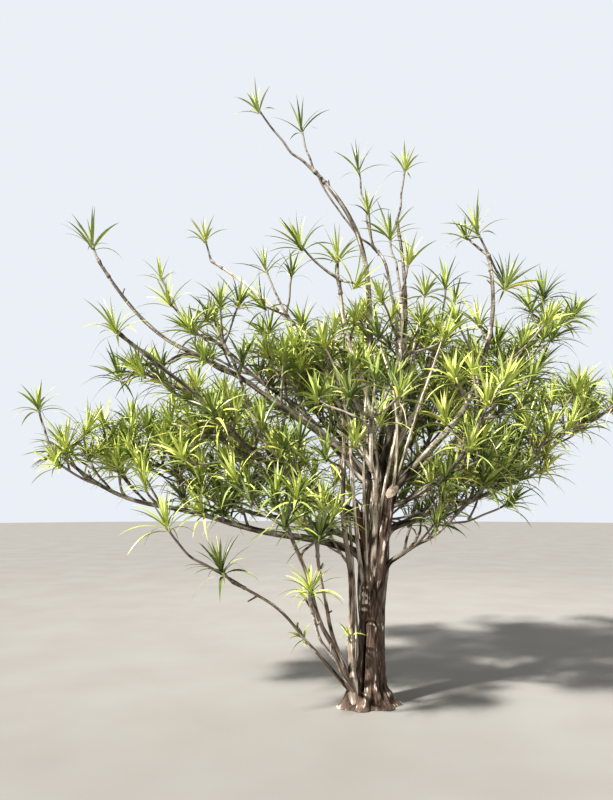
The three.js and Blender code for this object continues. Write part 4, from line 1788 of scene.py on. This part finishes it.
@dataclass
class Boughs:
    """The boughs' bark: a tube along each, with lengthwise splits, leaf scars, knots and a collar.

    Attributes:
        ring_step: Distance between rings in metres.
        sides: Corners round each ring, on a stout bough and on a slender one.
        stout: Root radius in millimetres over which a bough is stout.
        scar_step: Distance between scars in metres.
        scar_depth: Height of a scar's step in metres.
        collar: How much wider a bough is at its root, and over what length it narrows.
        slimming: How much thinner a bough's bark is all along, and how much more half way.
    """

    ring_step: float = 10 * MM
    sides: tuple[int, int] = (20, 14)
    stout: float = 34
    scar_step: float = 27 * MM
    scar_depth: float = 1.4 * MM
    collar: tuple[float, float] = (0.22, 0.06)
    slimming: tuple[float, float] = (0.1, 0.12)

    def skin(self, limb: Limb, seed: int, sides: int, old: bool = False) -> Skin:
        """Skins one bough.

        Args:
            limb: The bough.
            seed: The seed of its bark.
            sides: Corners round each ring.
            old: Whether its bark is too old to show leaf scars.

        Returns:
            The skin.
        """
        length = limb.line.length()
        place = np.linspace(limb.joins / length, 1, max(8, int((length - limb.joins) / self.ring_step)))
        distance, points = place * length, limb.line.points(place)
        if limb.lead is not None:
            steps = np.linalg.norm(np.diff(limb.lead, axis=0), axis=1)
            back = np.cumsum(steps[::-1])[::-1]
            points = np.concatenate([limb.lead[:-1], points])
            distance = np.concatenate([limb.joins - back, distance])
        distances, angles = unrolled(distance, sides)
        share = np.clip(distances / length, 0, 1)
        slim, waist = self.slimming
        radius = limb.radius(share) * (1 - slim - waist * np.sin(math.pi * share))
        # A bough off the trunk grows on from its slimmer fused stem, any other starts with a collar
        swell, fall = self.collar
        if limb.joins:
            radius = radius * blend(0.82, 1, eased(distances, -0.2, limb.joins))
        else:
            radius = radius * (1 + swell * np.exp(-np.maximum(distances - limb.clear, 0) / fall))
        for knot in limb.knots:
            radius *= 1 + 0.06 * bell(distances - knot * length, 0.024)
        start = distances - float(distance[0])
        total = float(start.max())
        lumps = BarkLumps(seed, 5, 0.07, total).at(angles, start)
        wrinkles = BarkLumps(seed + 1, 9, 0.12, total).at(angles, start)
        uneven = BarkLumps(seed + 2, 2, 0.11, total).at(angles * 0, start)
        courses = BarkLumps(seed + 3, 7, 0.22, total).at(angles, start)
        splits = np.clip(1 - 3 * np.abs(courses), 0, 1)
        # Leaf scars show from half a metre out, where the bark is young
        young = 0.0 if old else eased(distances, limb.joins, limb.joins + 0.5)
        scars = young * np.mod((distances + 0.008 * uneven + 0.004 * lumps) / self.scar_step, 1.0) ** 1.5
        radius *= 1 + 0.05 * lumps + 0.04 * wrinkles - 0.1 * splits * (1 - 0.6 * young)
        radius += self.scar_depth * (scars - 0.5 * young)
        relief = 0.6 + 0.2 * scars + 0.3 * wrinkles + 0.15 * lumps - blend(0.6, 0.35, young) * splits
        return tube(points, radius, relief, float(distance[0]))

    def build(self, limbs: Mapping[str, Limb], barks: Mapping[Bark, bpy.types.Material]) -> Pieces:
        """Makes every bough's piece, and one for the upright stems.

        Args:
            limbs: Every limb by name.
            barks: The finishes. Stems and shoots of the root crown take the worn one, the upright
                stems and the boughs painted as sunlit the pale one.

        Returns:
            The pieces.
        """
        pieces = []
        for number, row in enumerate(BOUGHS):
            stem = row.name.endswith("stem")
            sides = self.sides[0] if row.radii[0] > self.stout else self.sides[1]
            skin = self.skin(limbs[row.name], Seed.BOUGH_BARK + 10 * number, sides, stem)
            worn = stem or row.name.endswith("shoot")
            # The inner boughs take the near-white bark: painted sunlight
            bark = Bark.WORN if worn else Bark.PALE if row.name in SUNLIT_BOUGHS else Bark.BOUGH
            piece = joined(f"{row.name}_bark", barks[bark], [skin])
            if row.name in frame["nodes"]:
                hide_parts(row.name)
            pieces.append(piece)
        uprights = (limb for name, limb in limbs.items() if name.startswith("upright_stem"))
        skins = (
            self.skin(limb, Seed.UPRIGHT_BARK + 10 * number, self.sides[1], True)
            for number, limb in enumerate(uprights)
        )
        # The upright stems take the near-white bark too: painted sunlight
        pieces.append(joined("upright_stems_bark", barks[Bark.PALE], skins))
        return pieces


@dataclass
class LoppedStub:
    """The stem beside the fork that was sawn off, with its pale cut face.

    Attributes:
        handles: Its line from the trunk's side to the cut, in metres.
        radii: Its radius at root and cut in metres.
        facing: Direction that the cut faces: the saw went through at a slant.
        sides: Corners round each ring.
        steps: Rings on the cut face.
        slant: How far back from its end the cut begins, in radii.
        proud: How far the cut face stands over the bark's rim, in metres.
    """

    handles: tuple[Triple, ...] = (
        (0.068, -0.045, 0.82),
        (0.1, -0.095, 1.14),
        (0.13, -0.15, 1.42),
        (0.21, -0.187, 1.79),
    )
    radii: tuple[float, float] = (0.036, 0.048)
    facing: Triple = (-0.34, -0.72, 0.6)
    sides: int = 26
    steps: int = 5
    slant: float = 1.7
    proud: float = 3 * MM

    def build(self, bark: bpy.types.Material, wood: bpy.types.Material) -> Pieces:
        """Makes the stub and its cut face.

        Args:
            bark: The bark's finish.
            wood: The cut face's finish.

        Returns:
            Both pieces.
        """
        line = BezierLine(self.handles)
        even = Boughs(ring_step=8 * MM, collar=(0, 1), slimming=(0, 0))
        corners, *rest = even.skin(Limb(line, *self.radii), Seed.STUB_BARK, self.sides, True)
        ahead, facing = line.heading(1.0), unit(np.array(self.facing))
        tip = line.at(1.0) - ahead * self.radii[1] * self.slant
        over = np.maximum((corners - tip) @ facing, 0) / float(ahead @ facing)
        corners = corners - over[:, None] * ahead
        rim = corners[-2 - self.sides : -2]
        middle = rim.mean(axis=0)
        rough = BarkLumps(Seed.STUB_FACE, 9, 0.01, 0.1)
        angle = round_angles(self.sides)
        # Only the outermost ring is sunk, so that the face closes over the bark's rim
        places = [middle + facing * self.proud]
        for step in range(1, self.steps + 1):
            sunk = 5 * MM * (step == self.steps)
            rise = self.proud - sunk + 1.5 * MM * rough.at(angle, angle * 0 + 0.01 * step)
            places.extend(middle + (rim - middle) * (1.03 * step / self.steps) + rise[:, None] * facing)
        face = disc(np.array(places), self.sides, middle)
        return [
            joined("lopped_stub_bark", bark, [(corners, *rest)]),
            joined("lopped_stub_cut_face", wood, [face]),
        ]


@dataclass
class PeeledStrip:
    """A fused stem on the trunk's left side where the bark has come off and the red wood shows.

    Attributes:
        handles: Its line from inside the trunk to its upper end, in metres.
        radius: Its greatest radius in metres.
        rings: Rings along it.
        sides: Corners round each ring.
    """

    handles: tuple[Triple, ...] = (
        (-0.005, -0.05, 1.15),
        (-0.05, -0.1, 1.29),
        (-0.07, -0.118, 1.44),
        (-0.092, -0.115, 1.62),
    )
    radius: float = 19 * MM
    rings: int = 50
    sides: int = 14

    def build(self, wood: bpy.types.Material) -> bpy.types.Object:
        """Makes the strip.

        Args:
            wood: Its finish.

        Returns:
            The piece.
        """
        place = np.linspace(0, 1, self.rings)
        line = BezierLine(self.handles)
        places, angles = unrolled(place, self.sides)
        taper = np.clip(np.sin(math.pi * np.linspace(0.01, 0.99, self.rings)), 0, 1)[:, None] ** 0.3
        rough = BarkLumps(Seed.PEELED_STRIP, 5, 0.05, 0.6).at(angles, places * line.length())
        radius = self.radius * taper * (1 + 0.12 * rough)
        return joined("peeled_strip", wood, [tube(line.points(place), radius, 0.6 + 0.5 * rough)])


@dataclass
class Shoots:
    """The shoots' bark, joined into one piece: thin ringed tubes that carry the rosettes.

    Attributes:
        ring_step: Distance between rings in metres.
        sides: Corners round each ring.
        scar_step: Distance between scars in metres.
        scar_depth: Height of a scar's step in metres.
        cut_relief: Relief in the middle of a dead stub's broken end, which is pale.
    """

    ring_step: float = 17 * MM
    sides: int = 6
    scar_step: float = 26 * MM
    scar_depth: float = 0.9 * MM
    cut_relief: float = 0.9

    def skin(self, shoot: Shoot, number: int) -> Skin:
        """Skins one shoot, swollen at its root and under its leaves.

        Args:
            shoot: The shoot.
            number: Its number, for its seeds.

        Returns:
            The skin.
        """
        length = shoot.line.length()
        place = np.linspace(0, 1, max(5, int(length / self.ring_step)))
        distances, angles = unrolled(place * length, self.sides)
        radius = blend(shoot.root_radius, shoot.tip_radius, place**0.6)
        radius = np.repeat(radius[:, None], self.sides, axis=1) * (1 + 0.35 * np.exp(-distances / 0.03))
        if not shoot.cut:
            radius *= 1 + 0.55 * bell(distances - length, 0.045)
        lumps = BarkLumps(Seed.SHOOT_BARK + number, 4, 0.05, length).at(angles, distances)
        scars = np.mod((distances + 0.004 * lumps) / self.scar_step, 1.0) ** 1.5
        radius *= 1 + 0.07 * lumps
        radius += self.scar_depth * (scars - 0.5)
        points = shoot.line.points(place)
        kinks = BarkLumps(Seed.SHOOT_KINKS + number, 2, 0.16, length)
        ease = (np.sin(math.pi * place) * min(0.02, 0.025 * length))[:, None]
        across, along = (
            kinks.at(place * 0 + turn, place * length)[:, None] * way
            for turn, way in zip((0, math.pi), rings_along(points))
        )
        end_relief = self.cut_relief if shoot.cut else END_RELIEF
        relief = 0.35 + 0.4 * scars + 0.3 * lumps
        return tube(points + ease * (across + along), radius, relief, end_relief=end_relief)

    def build(self, shoots: Sequence[Shoot], bark: bpy.types.Material) -> bpy.types.Object:
        """Makes the joined piece of every shoot with its finish."""
        skins = (self.skin(shoot, number) for number, shoot in enumerate(shoots))
        return joined("shoots_bark", bark, skins)


@dataclass
class LeafBatch:
    """Every leaf as rows of numbers, so that all are bent at once.

    Attributes:
        root: Where each leaf starts.
        axis: Its rosette's axis.
        side: The sideways direction at its root.
        spread: Degrees that it leans off the axis.
        length: Its length in metres.
        width: Its width in metres.
        sag: How far it arches over.
        twist: Degrees that it turns about itself along its length.
        fold: Degrees that its halves rise along the midrib.
        tone: The number of its tone.
    """

    root: np.ndarray
    axis: np.ndarray
    side: np.ndarray
    spread: np.ndarray
    length: np.ndarray
    width: np.ndarray
    sag: np.ndarray
    twist: np.ndarray
    fold: np.ndarray
    tone: np.ndarray


@dataclass
class Foliage:
    """The strap leaves: channelled blades that arch out of each rosette's heart.

    Attributes:
        length: A full-grown leaf's length in metres.
        width: Its width in metres.
        segments: Steps along a blade.
        innermost: Degrees off the shoot's line of the innermost leaves.
        roots: How far down the shoot the outermost leaves start, in metres.
        outset: How far off the shoot's middle a leaf starts, in metres.
        dry: How much wider a dry leaf spreads in degrees, how much more it arches over, and the
            share of its width that is left when it has curled up.
        clearance: Least distance between a leaf and a limb's bark in metres.
        ground: Least height over the ground in metres.
        profile: A blade's width from step to step, as a share of the full width.
    """

    length: float = 300 * MM
    width: float = 24 * MM
    segments: int = 7
    innermost: float = 4
    roots: float = 65 * MM
    outset: float = 7 * MM
    dry: Triple = (15, 0.6, 0.4)
    clearance: float = 4 * MM
    ground: float = 20 * MM
    profile: tuple[float, ...] = (0.68, 0.92, 1.0, 0.93, 0.75, 0.5, 0.25)

    def deal(self, rosettes: Sequence[Rosette]) -> LeafBatch:
        """Deals out every rosette's leaves.

        Args:
            rosettes: The rosettes.

        Returns:
            The leaves.
        """
        rows: list[tuple] = []
        tones = list(LeafTone)
        for rosette in rosettes:
            chances = SeededStream(rosette.seed + Seed.LEAVES, 1)
            level = EAST if abs(rosette.axis[2]) > NEAR_UPRIGHT else UP
            first = unit(np.cross(rosette.axis, level))
            turn = chances.draw(0, 360)
            # From the heart outwards each leaf grows longer, spreads wider and arches over farther
            for i in range(rosette.leaves):
                share = i / (rosette.leaves - 1)
                turn += GOLDEN_ANGLE + chances.draw(-14, 14)
                side = turned(first, rosette.axis, turn)
                outward = np.cross(side, rosette.axis)
                spread = blend(self.innermost, rosette.opening, share**0.95) + chances.draw(-9, 9)
                grown = 0.68 + 0.32 * float(eased(share, 0.0, 0.3))
                length = self.length * rosette.size * grown * chances.draw(0.84, 1.08)
                width = self.width * (0.72 + 0.28 * grown) * chances.draw(0.82, 1.12)
                sag = blend(0.02, 0.5, share**1.2) * chances.draw(0.3, 1.5) * rosette.limpness
                root = rosette.heart - rosette.axis * self.roots * share * rosette.size
                root = root + outward * self.outset
                tone = self.tone_of(rosette, share, chances.draw())
                if tone is LeafTone.DRY:
                    wider, limper, curled = self.dry
                    spread, sag, width = spread + wider, sag + limper, width * curled
                twist, fold = chances.draw(-50, 50), chances.draw(14, 30)
                shape = (spread, length, width, sag, twist, fold)
                rows.append((root, rosette.axis, side, *shape, tones.index(tone)))
        return LeafBatch(*(np.array(column, dtype=float) for column in zip(*rows)))

    def tone_of(self, rosette: Rosette, share: float, chance: float) -> LeafTone:
        """Picks a leaf's colour by how far out in its rosette it is.

        Args:
            rosette: Its rosette.
            share: 0 in the heart, 1 for the lowest leaf.
            chance: A number from 0 to 1.

        Returns:
            The leaf's tone.
        """
        ladder = [LeafTone.YOUNG, LeafTone.BRIGHT, LeafTone.GREEN, LeafTone.DEEP]
        if share > 0.8 and chance < 0.12:
            return LeafTone.DRY
        if share > 0.7 and chance > 0.94:
            return LeafTone.YELLOWING
        # A leaf takes its rosette's tone, a younger one near the heart, or now and then a neighbour
        step = -1 if share < 0.18 or chance < 0.22 else 1 if chance > 0.8 else 0
        return ladder[min(max(ladder.index(rosette.tone) + step, 0), 3)]

    def bent(self, leaves: LeafBatch) -> tuple[np.ndarray, np.ndarray, np.ndarray]:
        """Bends every leaf's midrib.

        Args:
            leaves: The leaves.

        Returns:
            Places, sideways directions and upper-side directions along every midrib.
        """
        outward = np.cross(leaves.side, leaves.axis)
        places, sides, normals = [leaves.root], [], []
        for step in np.arange(self.segments) / (self.segments - 1):
            angle = np.radians(leaves.spread * (0.68 + 0.42 * step))[:, None]
            ahead = leaves.axis * np.cos(angle) + outward * np.sin(angle)
            level = np.hypot(ahead[:, 0], ahead[:, 1])[:, None]
            ahead = unit(ahead - UP * (leaves.sag[:, None] * 1.5 * step**1.4 * level))
            side = unit(leaves.side - ahead * np.sum(ahead * leaves.side, axis=1, keepdims=True))
            side = turned(side, ahead, leaves.twist * step)
            sides.append(side)
            normals.append(np.cross(ahead, side))
            places.append(places[-1] + ahead * (leaves.length[:, None] / self.segments))
        return np.stack(places, axis=1), np.stack(sides, axis=1), np.stack(normals, axis=1)

    def clear_of(self, midribs: np.ndarray, limbs: Iterable[Limb]) -> np.ndarray:
        """Says which leaves stay clear of every limb and stay above the ground.

        Args:
            midribs: Places along every midrib.
            limbs: The limbs.

        Returns:
            True for each leaf that may stay.
        """
        samples: list[tuple[np.ndarray, float]] = []
        for limb in limbs:
            places = np.linspace(0, 1, int(limb.line.length() / (12 * MM)))
            samples.extend(zip(limb.line.points(places), limb.radius(places)))
        tree = KDTree(len(samples))
        for number, (place, _) in enumerate(samples):
            tree.insert(Vector(place), number)
        tree.balance()
        keep = midribs[:, :, 2].min(axis=1) > self.ground
        for number, midrib in enumerate(midribs):
            for place in midrib[2:]:
                _, nearest, distance = tree.find(Vector(place))
                if distance < samples[nearest][1] + self.clearance:
                    keep[number] = False
                    break
        return keep

    def blades(self, leaves: LeafBatch, bent: Sequence[np.ndarray], chosen: np.ndarray) -> Skin:
        """Skins the chosen leaves.

        Args:
            leaves: All leaves.
            bent: Places, sideways and upper-side directions along every midrib.
            chosen: Numbers of the leaves to skin.

        Returns:
            Their skin.
        """
        midribs, sides, normals = (rows[chosen] for rows in bent)
        count, segments = len(chosen), self.segments
        width = leaves.width[chosen, None] * np.array(self.profile)[None, :] / 2
        fold = np.radians(leaves.fold[chosen])[:, None]
        middle = midribs[:, :segments]
        across = sides * (width * np.cos(fold))[..., None]
        raised = normals * (width * np.sin(fold))[..., None]
        rows = np.stack([middle - across + raised, middle, middle + across + raised], axis=2)
        corners = np.concatenate([rows.reshape(count, -1, 3), midribs[:, segments:]], axis=1)
        length = leaves.length[chosen, None]
        flat = np.zeros((count, segments, 3, 3))
        flat[..., 0, 0], flat[..., 2, 0] = -width, width
        flat[..., 2] = (length * np.arange(segments) / segments)[..., None]
        tips = np.stack([0 * length, 0 * length, length], axis=2)
        grain = np.concatenate([flat.reshape(count, -1, 3), tips], axis=1)
        grain[..., 1] = 3.7 * np.arange(count)[:, None]
        each = 3 * segments + 1
        base = each * np.arange(count)[:, None, None]
        step = 3 * np.arange(segments - 1)[:, None]
        left_half = np.concatenate([step, step + 3, step + 4, step + 1], axis=1)
        quads = np.concatenate([left_half, left_half + 1])[None] + base
        last = 3 * (segments - 1)
        ends = np.array([[last, last + 3, last + 1], [last + 1, last + 3, last + 2]])[None] + base
        return corners.reshape(-1, 3), grain.reshape(-1, 3), np.ones(each * count), quads, ends

    def build(self, skeleton: Skeleton) -> Pieces:
        """Makes one joined piece for each colour.

        Args:
            skeleton: The grown tree.

        Returns:
            The pieces.
        """
        leaves = self.deal(skeleton.rosettes)
        bent = self.bent(leaves)
        keep = self.clear_of(bent[0], skeleton.limbs.values())
        log.info("%d leaves dealt, %d kept", len(keep), int(keep.sum()))
        pieces = []
        triangles = 4 * (self.segments - 1) + 2
        for number, tone in enumerate(LeafTone):
            chosen = np.flatnonzero(keep & (leaves.tone == number))
            parts = max(1, math.ceil(len(chosen) * triangles / MOST_TRIANGLES))
            finish = LEAF_FINISHES[tone].material()
            for part, share in enumerate(np.array_split(chosen, parts)):
                name = tone.value if parts == 1 else f"{tone.value}_{part + 1}"
                pieces.append(joined(name, finish, [self.blades(leaves, bent, share)]))
        return pieces


class LampKind(Enum):
    """Kinds of lamp, each with the setting that holds its size."""

    SUN = "angle"
    AREA = "size"


@dataclass
class Studio:
    """A pale floor, plain soft light, and the camera where the tree is seen from.

    Attributes:
        camera_place: Where the camera stands, in metres: at the eye height of someone a few steps
            from the tree.
        pitch: Degrees that it looks up.
        lens: Its lens in millimetres, on a 36 mm sensor along the picture's long side.
        floor_rings: Radii of the floor's rings in metres.
        floor_sides: Corners round each ring.
        lamps: Name, kind, place, size, strength and colour of each lamp: a broad sun-like key over
            the left shoulder, a fill and a back light.
        aim: The place that the lamps point at.
        surround: Colour of the world round the tree, its light, and what the camera sees on top.
    """

    camera_place: Triple = (-0.516, -5.4, 1.6)
    pitch: float = 9.6
    lens: float = 27.99
    floor_rings: tuple[float, ...] = (3.0, 12.0, 60.0)
    floor_sides: int = 64
    lamps: tuple[tuple, ...] = (
        ("key_light", LampKind.SUN, (-5.8, -4.4, 9.0), math.radians(4), 8.2, (1.0, 0.97, 0.92)),
        ("fill_light", LampKind.AREA, (5.5, -6.5, 4.0), 5.0, 170.0, (0.94, 0.97, 1.0)),
        ("back_light", LampKind.AREA, (1.5, 6.5, 8.0), 5.0, 300.0, (1.0, 0.99, 0.96)),
    )
    aim: Triple = (0, 0, 2.6)
    surround: tuple[tuple[float, ...], float, float] = ((0.9, 0.94, 1.0, 1.0), 0.24, 0.54)

    def build(self) -> None:
        """Makes the camera, the floor and the light."""
        self.place_camera()
        self.lay_floor()
        self.hang_lamps()
        self.surround_tree()

    def place(self, name: str, data: bpy.types.ID, place: Sequence[float]) -> bpy.types.Object:
        """Puts a camera or a lamp in its place.

        Args:
            name: Its name.
            data: The camera or lamp.
            place: Where it stands, in metres.

        Returns:
            The new object.
        """
        placed = bpy.data.objects.new(name, data)
        placed.location = place
        bpy.context.scene.collection.objects.link(placed)
        return placed

    def place_camera(self) -> None:
        """Stands the camera before the tree."""
        data = bpy.data.cameras.new("camera")
        data.lens, data.sensor_width = self.lens, 36.0
        camera = self.place("camera", data, self.camera_place)
        camera.rotation_euler = (math.radians(90 + self.pitch), 0.0, 0.0)
        bpy.context.scene.camera = camera

    def lay_floor(self) -> None:
        """Lays the round floor just under the tree's foot."""
        angle = round_angles(self.floor_sides)
        circle = np.stack([np.cos(angle), np.sin(angle), angle * 0], axis=1)
        corners = np.concatenate([np.zeros((1, 3)), *(circle * reach for reach in self.floor_rings)])
        skin = disc(corners, self.floor_sides, np.zeros(3))
        floor = joined("studio_floor", PaintedStudioFloor().material(), [skin])
        floor.location.z = -1 * MM
        floor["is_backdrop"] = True

    def hang_lamps(self) -> None:
        """Lights the tree with its three lamps."""
        for name, kind, place, size, strength, colour in self.lamps:
            data = bpy.data.lights.new(name, kind.name)
            setattr(data, kind.value, size)
            data.energy, data.color = strength, colour
            lamp = self.place(name, data, place)
            lamp.rotation_euler = (Vector(self.aim) - Vector(place)).to_track_quat("-Z", "Y").to_euler()

    def surround_tree(self) -> None:
        """Puts the pale world round the tree and sets how the picture is shown."""
        colour, light, seen = self.surround
        world = bpy.data.worlds.new("studio_surround")
        world.use_nodes = True
        tree = world.node_tree
        strength = {0: add_node(tree, "ShaderNodeLightPath").outputs["Is Camera Ray"], 1: seen, 2: light}
        total = add_node(tree, "ShaderNodeMath", strength, operation="MULTIPLY_ADD").outputs[0]
        fill_inputs(tree, tree.nodes["Background"], {"Color": colour, "Strength": total})
        bpy.context.scene.world = world
        view = bpy.context.scene.view_settings
        view.view_transform = "Standard"
        view.look = "Medium High Contrast"


def main() -> None:
    """Builds the tree and its studio, piece by piece."""
    logging.basicConfig(level=logging.INFO, format="%(message)s")
    solids_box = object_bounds()
    Studio().build()
    trunk = Trunk()
    skeleton = Skeleton(trunk, solids_box)
    skeleton.grow()
    grown = (skeleton.limbs, skeleton.shoots, skeleton.rosettes)
    log.info("%d limbs, %d shoots, %d rosettes", *map(len, grown))
    barks = {kind: kind.value.material() for kind in Bark}
    tufts = [row.node for row in TUFTS]
    column = trunk.build(barks[Bark.TRUNK])
    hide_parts("trunk")
    stub = LoppedStub().build(barks[Bark.TRUNK], SawnStemWood().material())
    stub.append(PeeledStrip().build(barks[Bark.RED_WOOD]))
    boughs = Boughs().build(skeleton.limbs, barks)
    shoots = Shoots().build(skeleton.shoots, RingScarredBark().material())
    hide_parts(*tufts)
    foliage = Foliage().build(skeleton)
    for slot, pieces in (
        ("trunk_bark", [column, *stub]),
        ("bough_bark", [*boughs, shoots]),
        ("foliage", foliage),
    ):
        for piece in pieces:
            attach(piece, "root")
            log.info("%s: %d faces", piece.name, len(piece.data.polygons))
    for piece in foliage:
        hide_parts(*tufts)


if __name__ == "__main__":
    main()
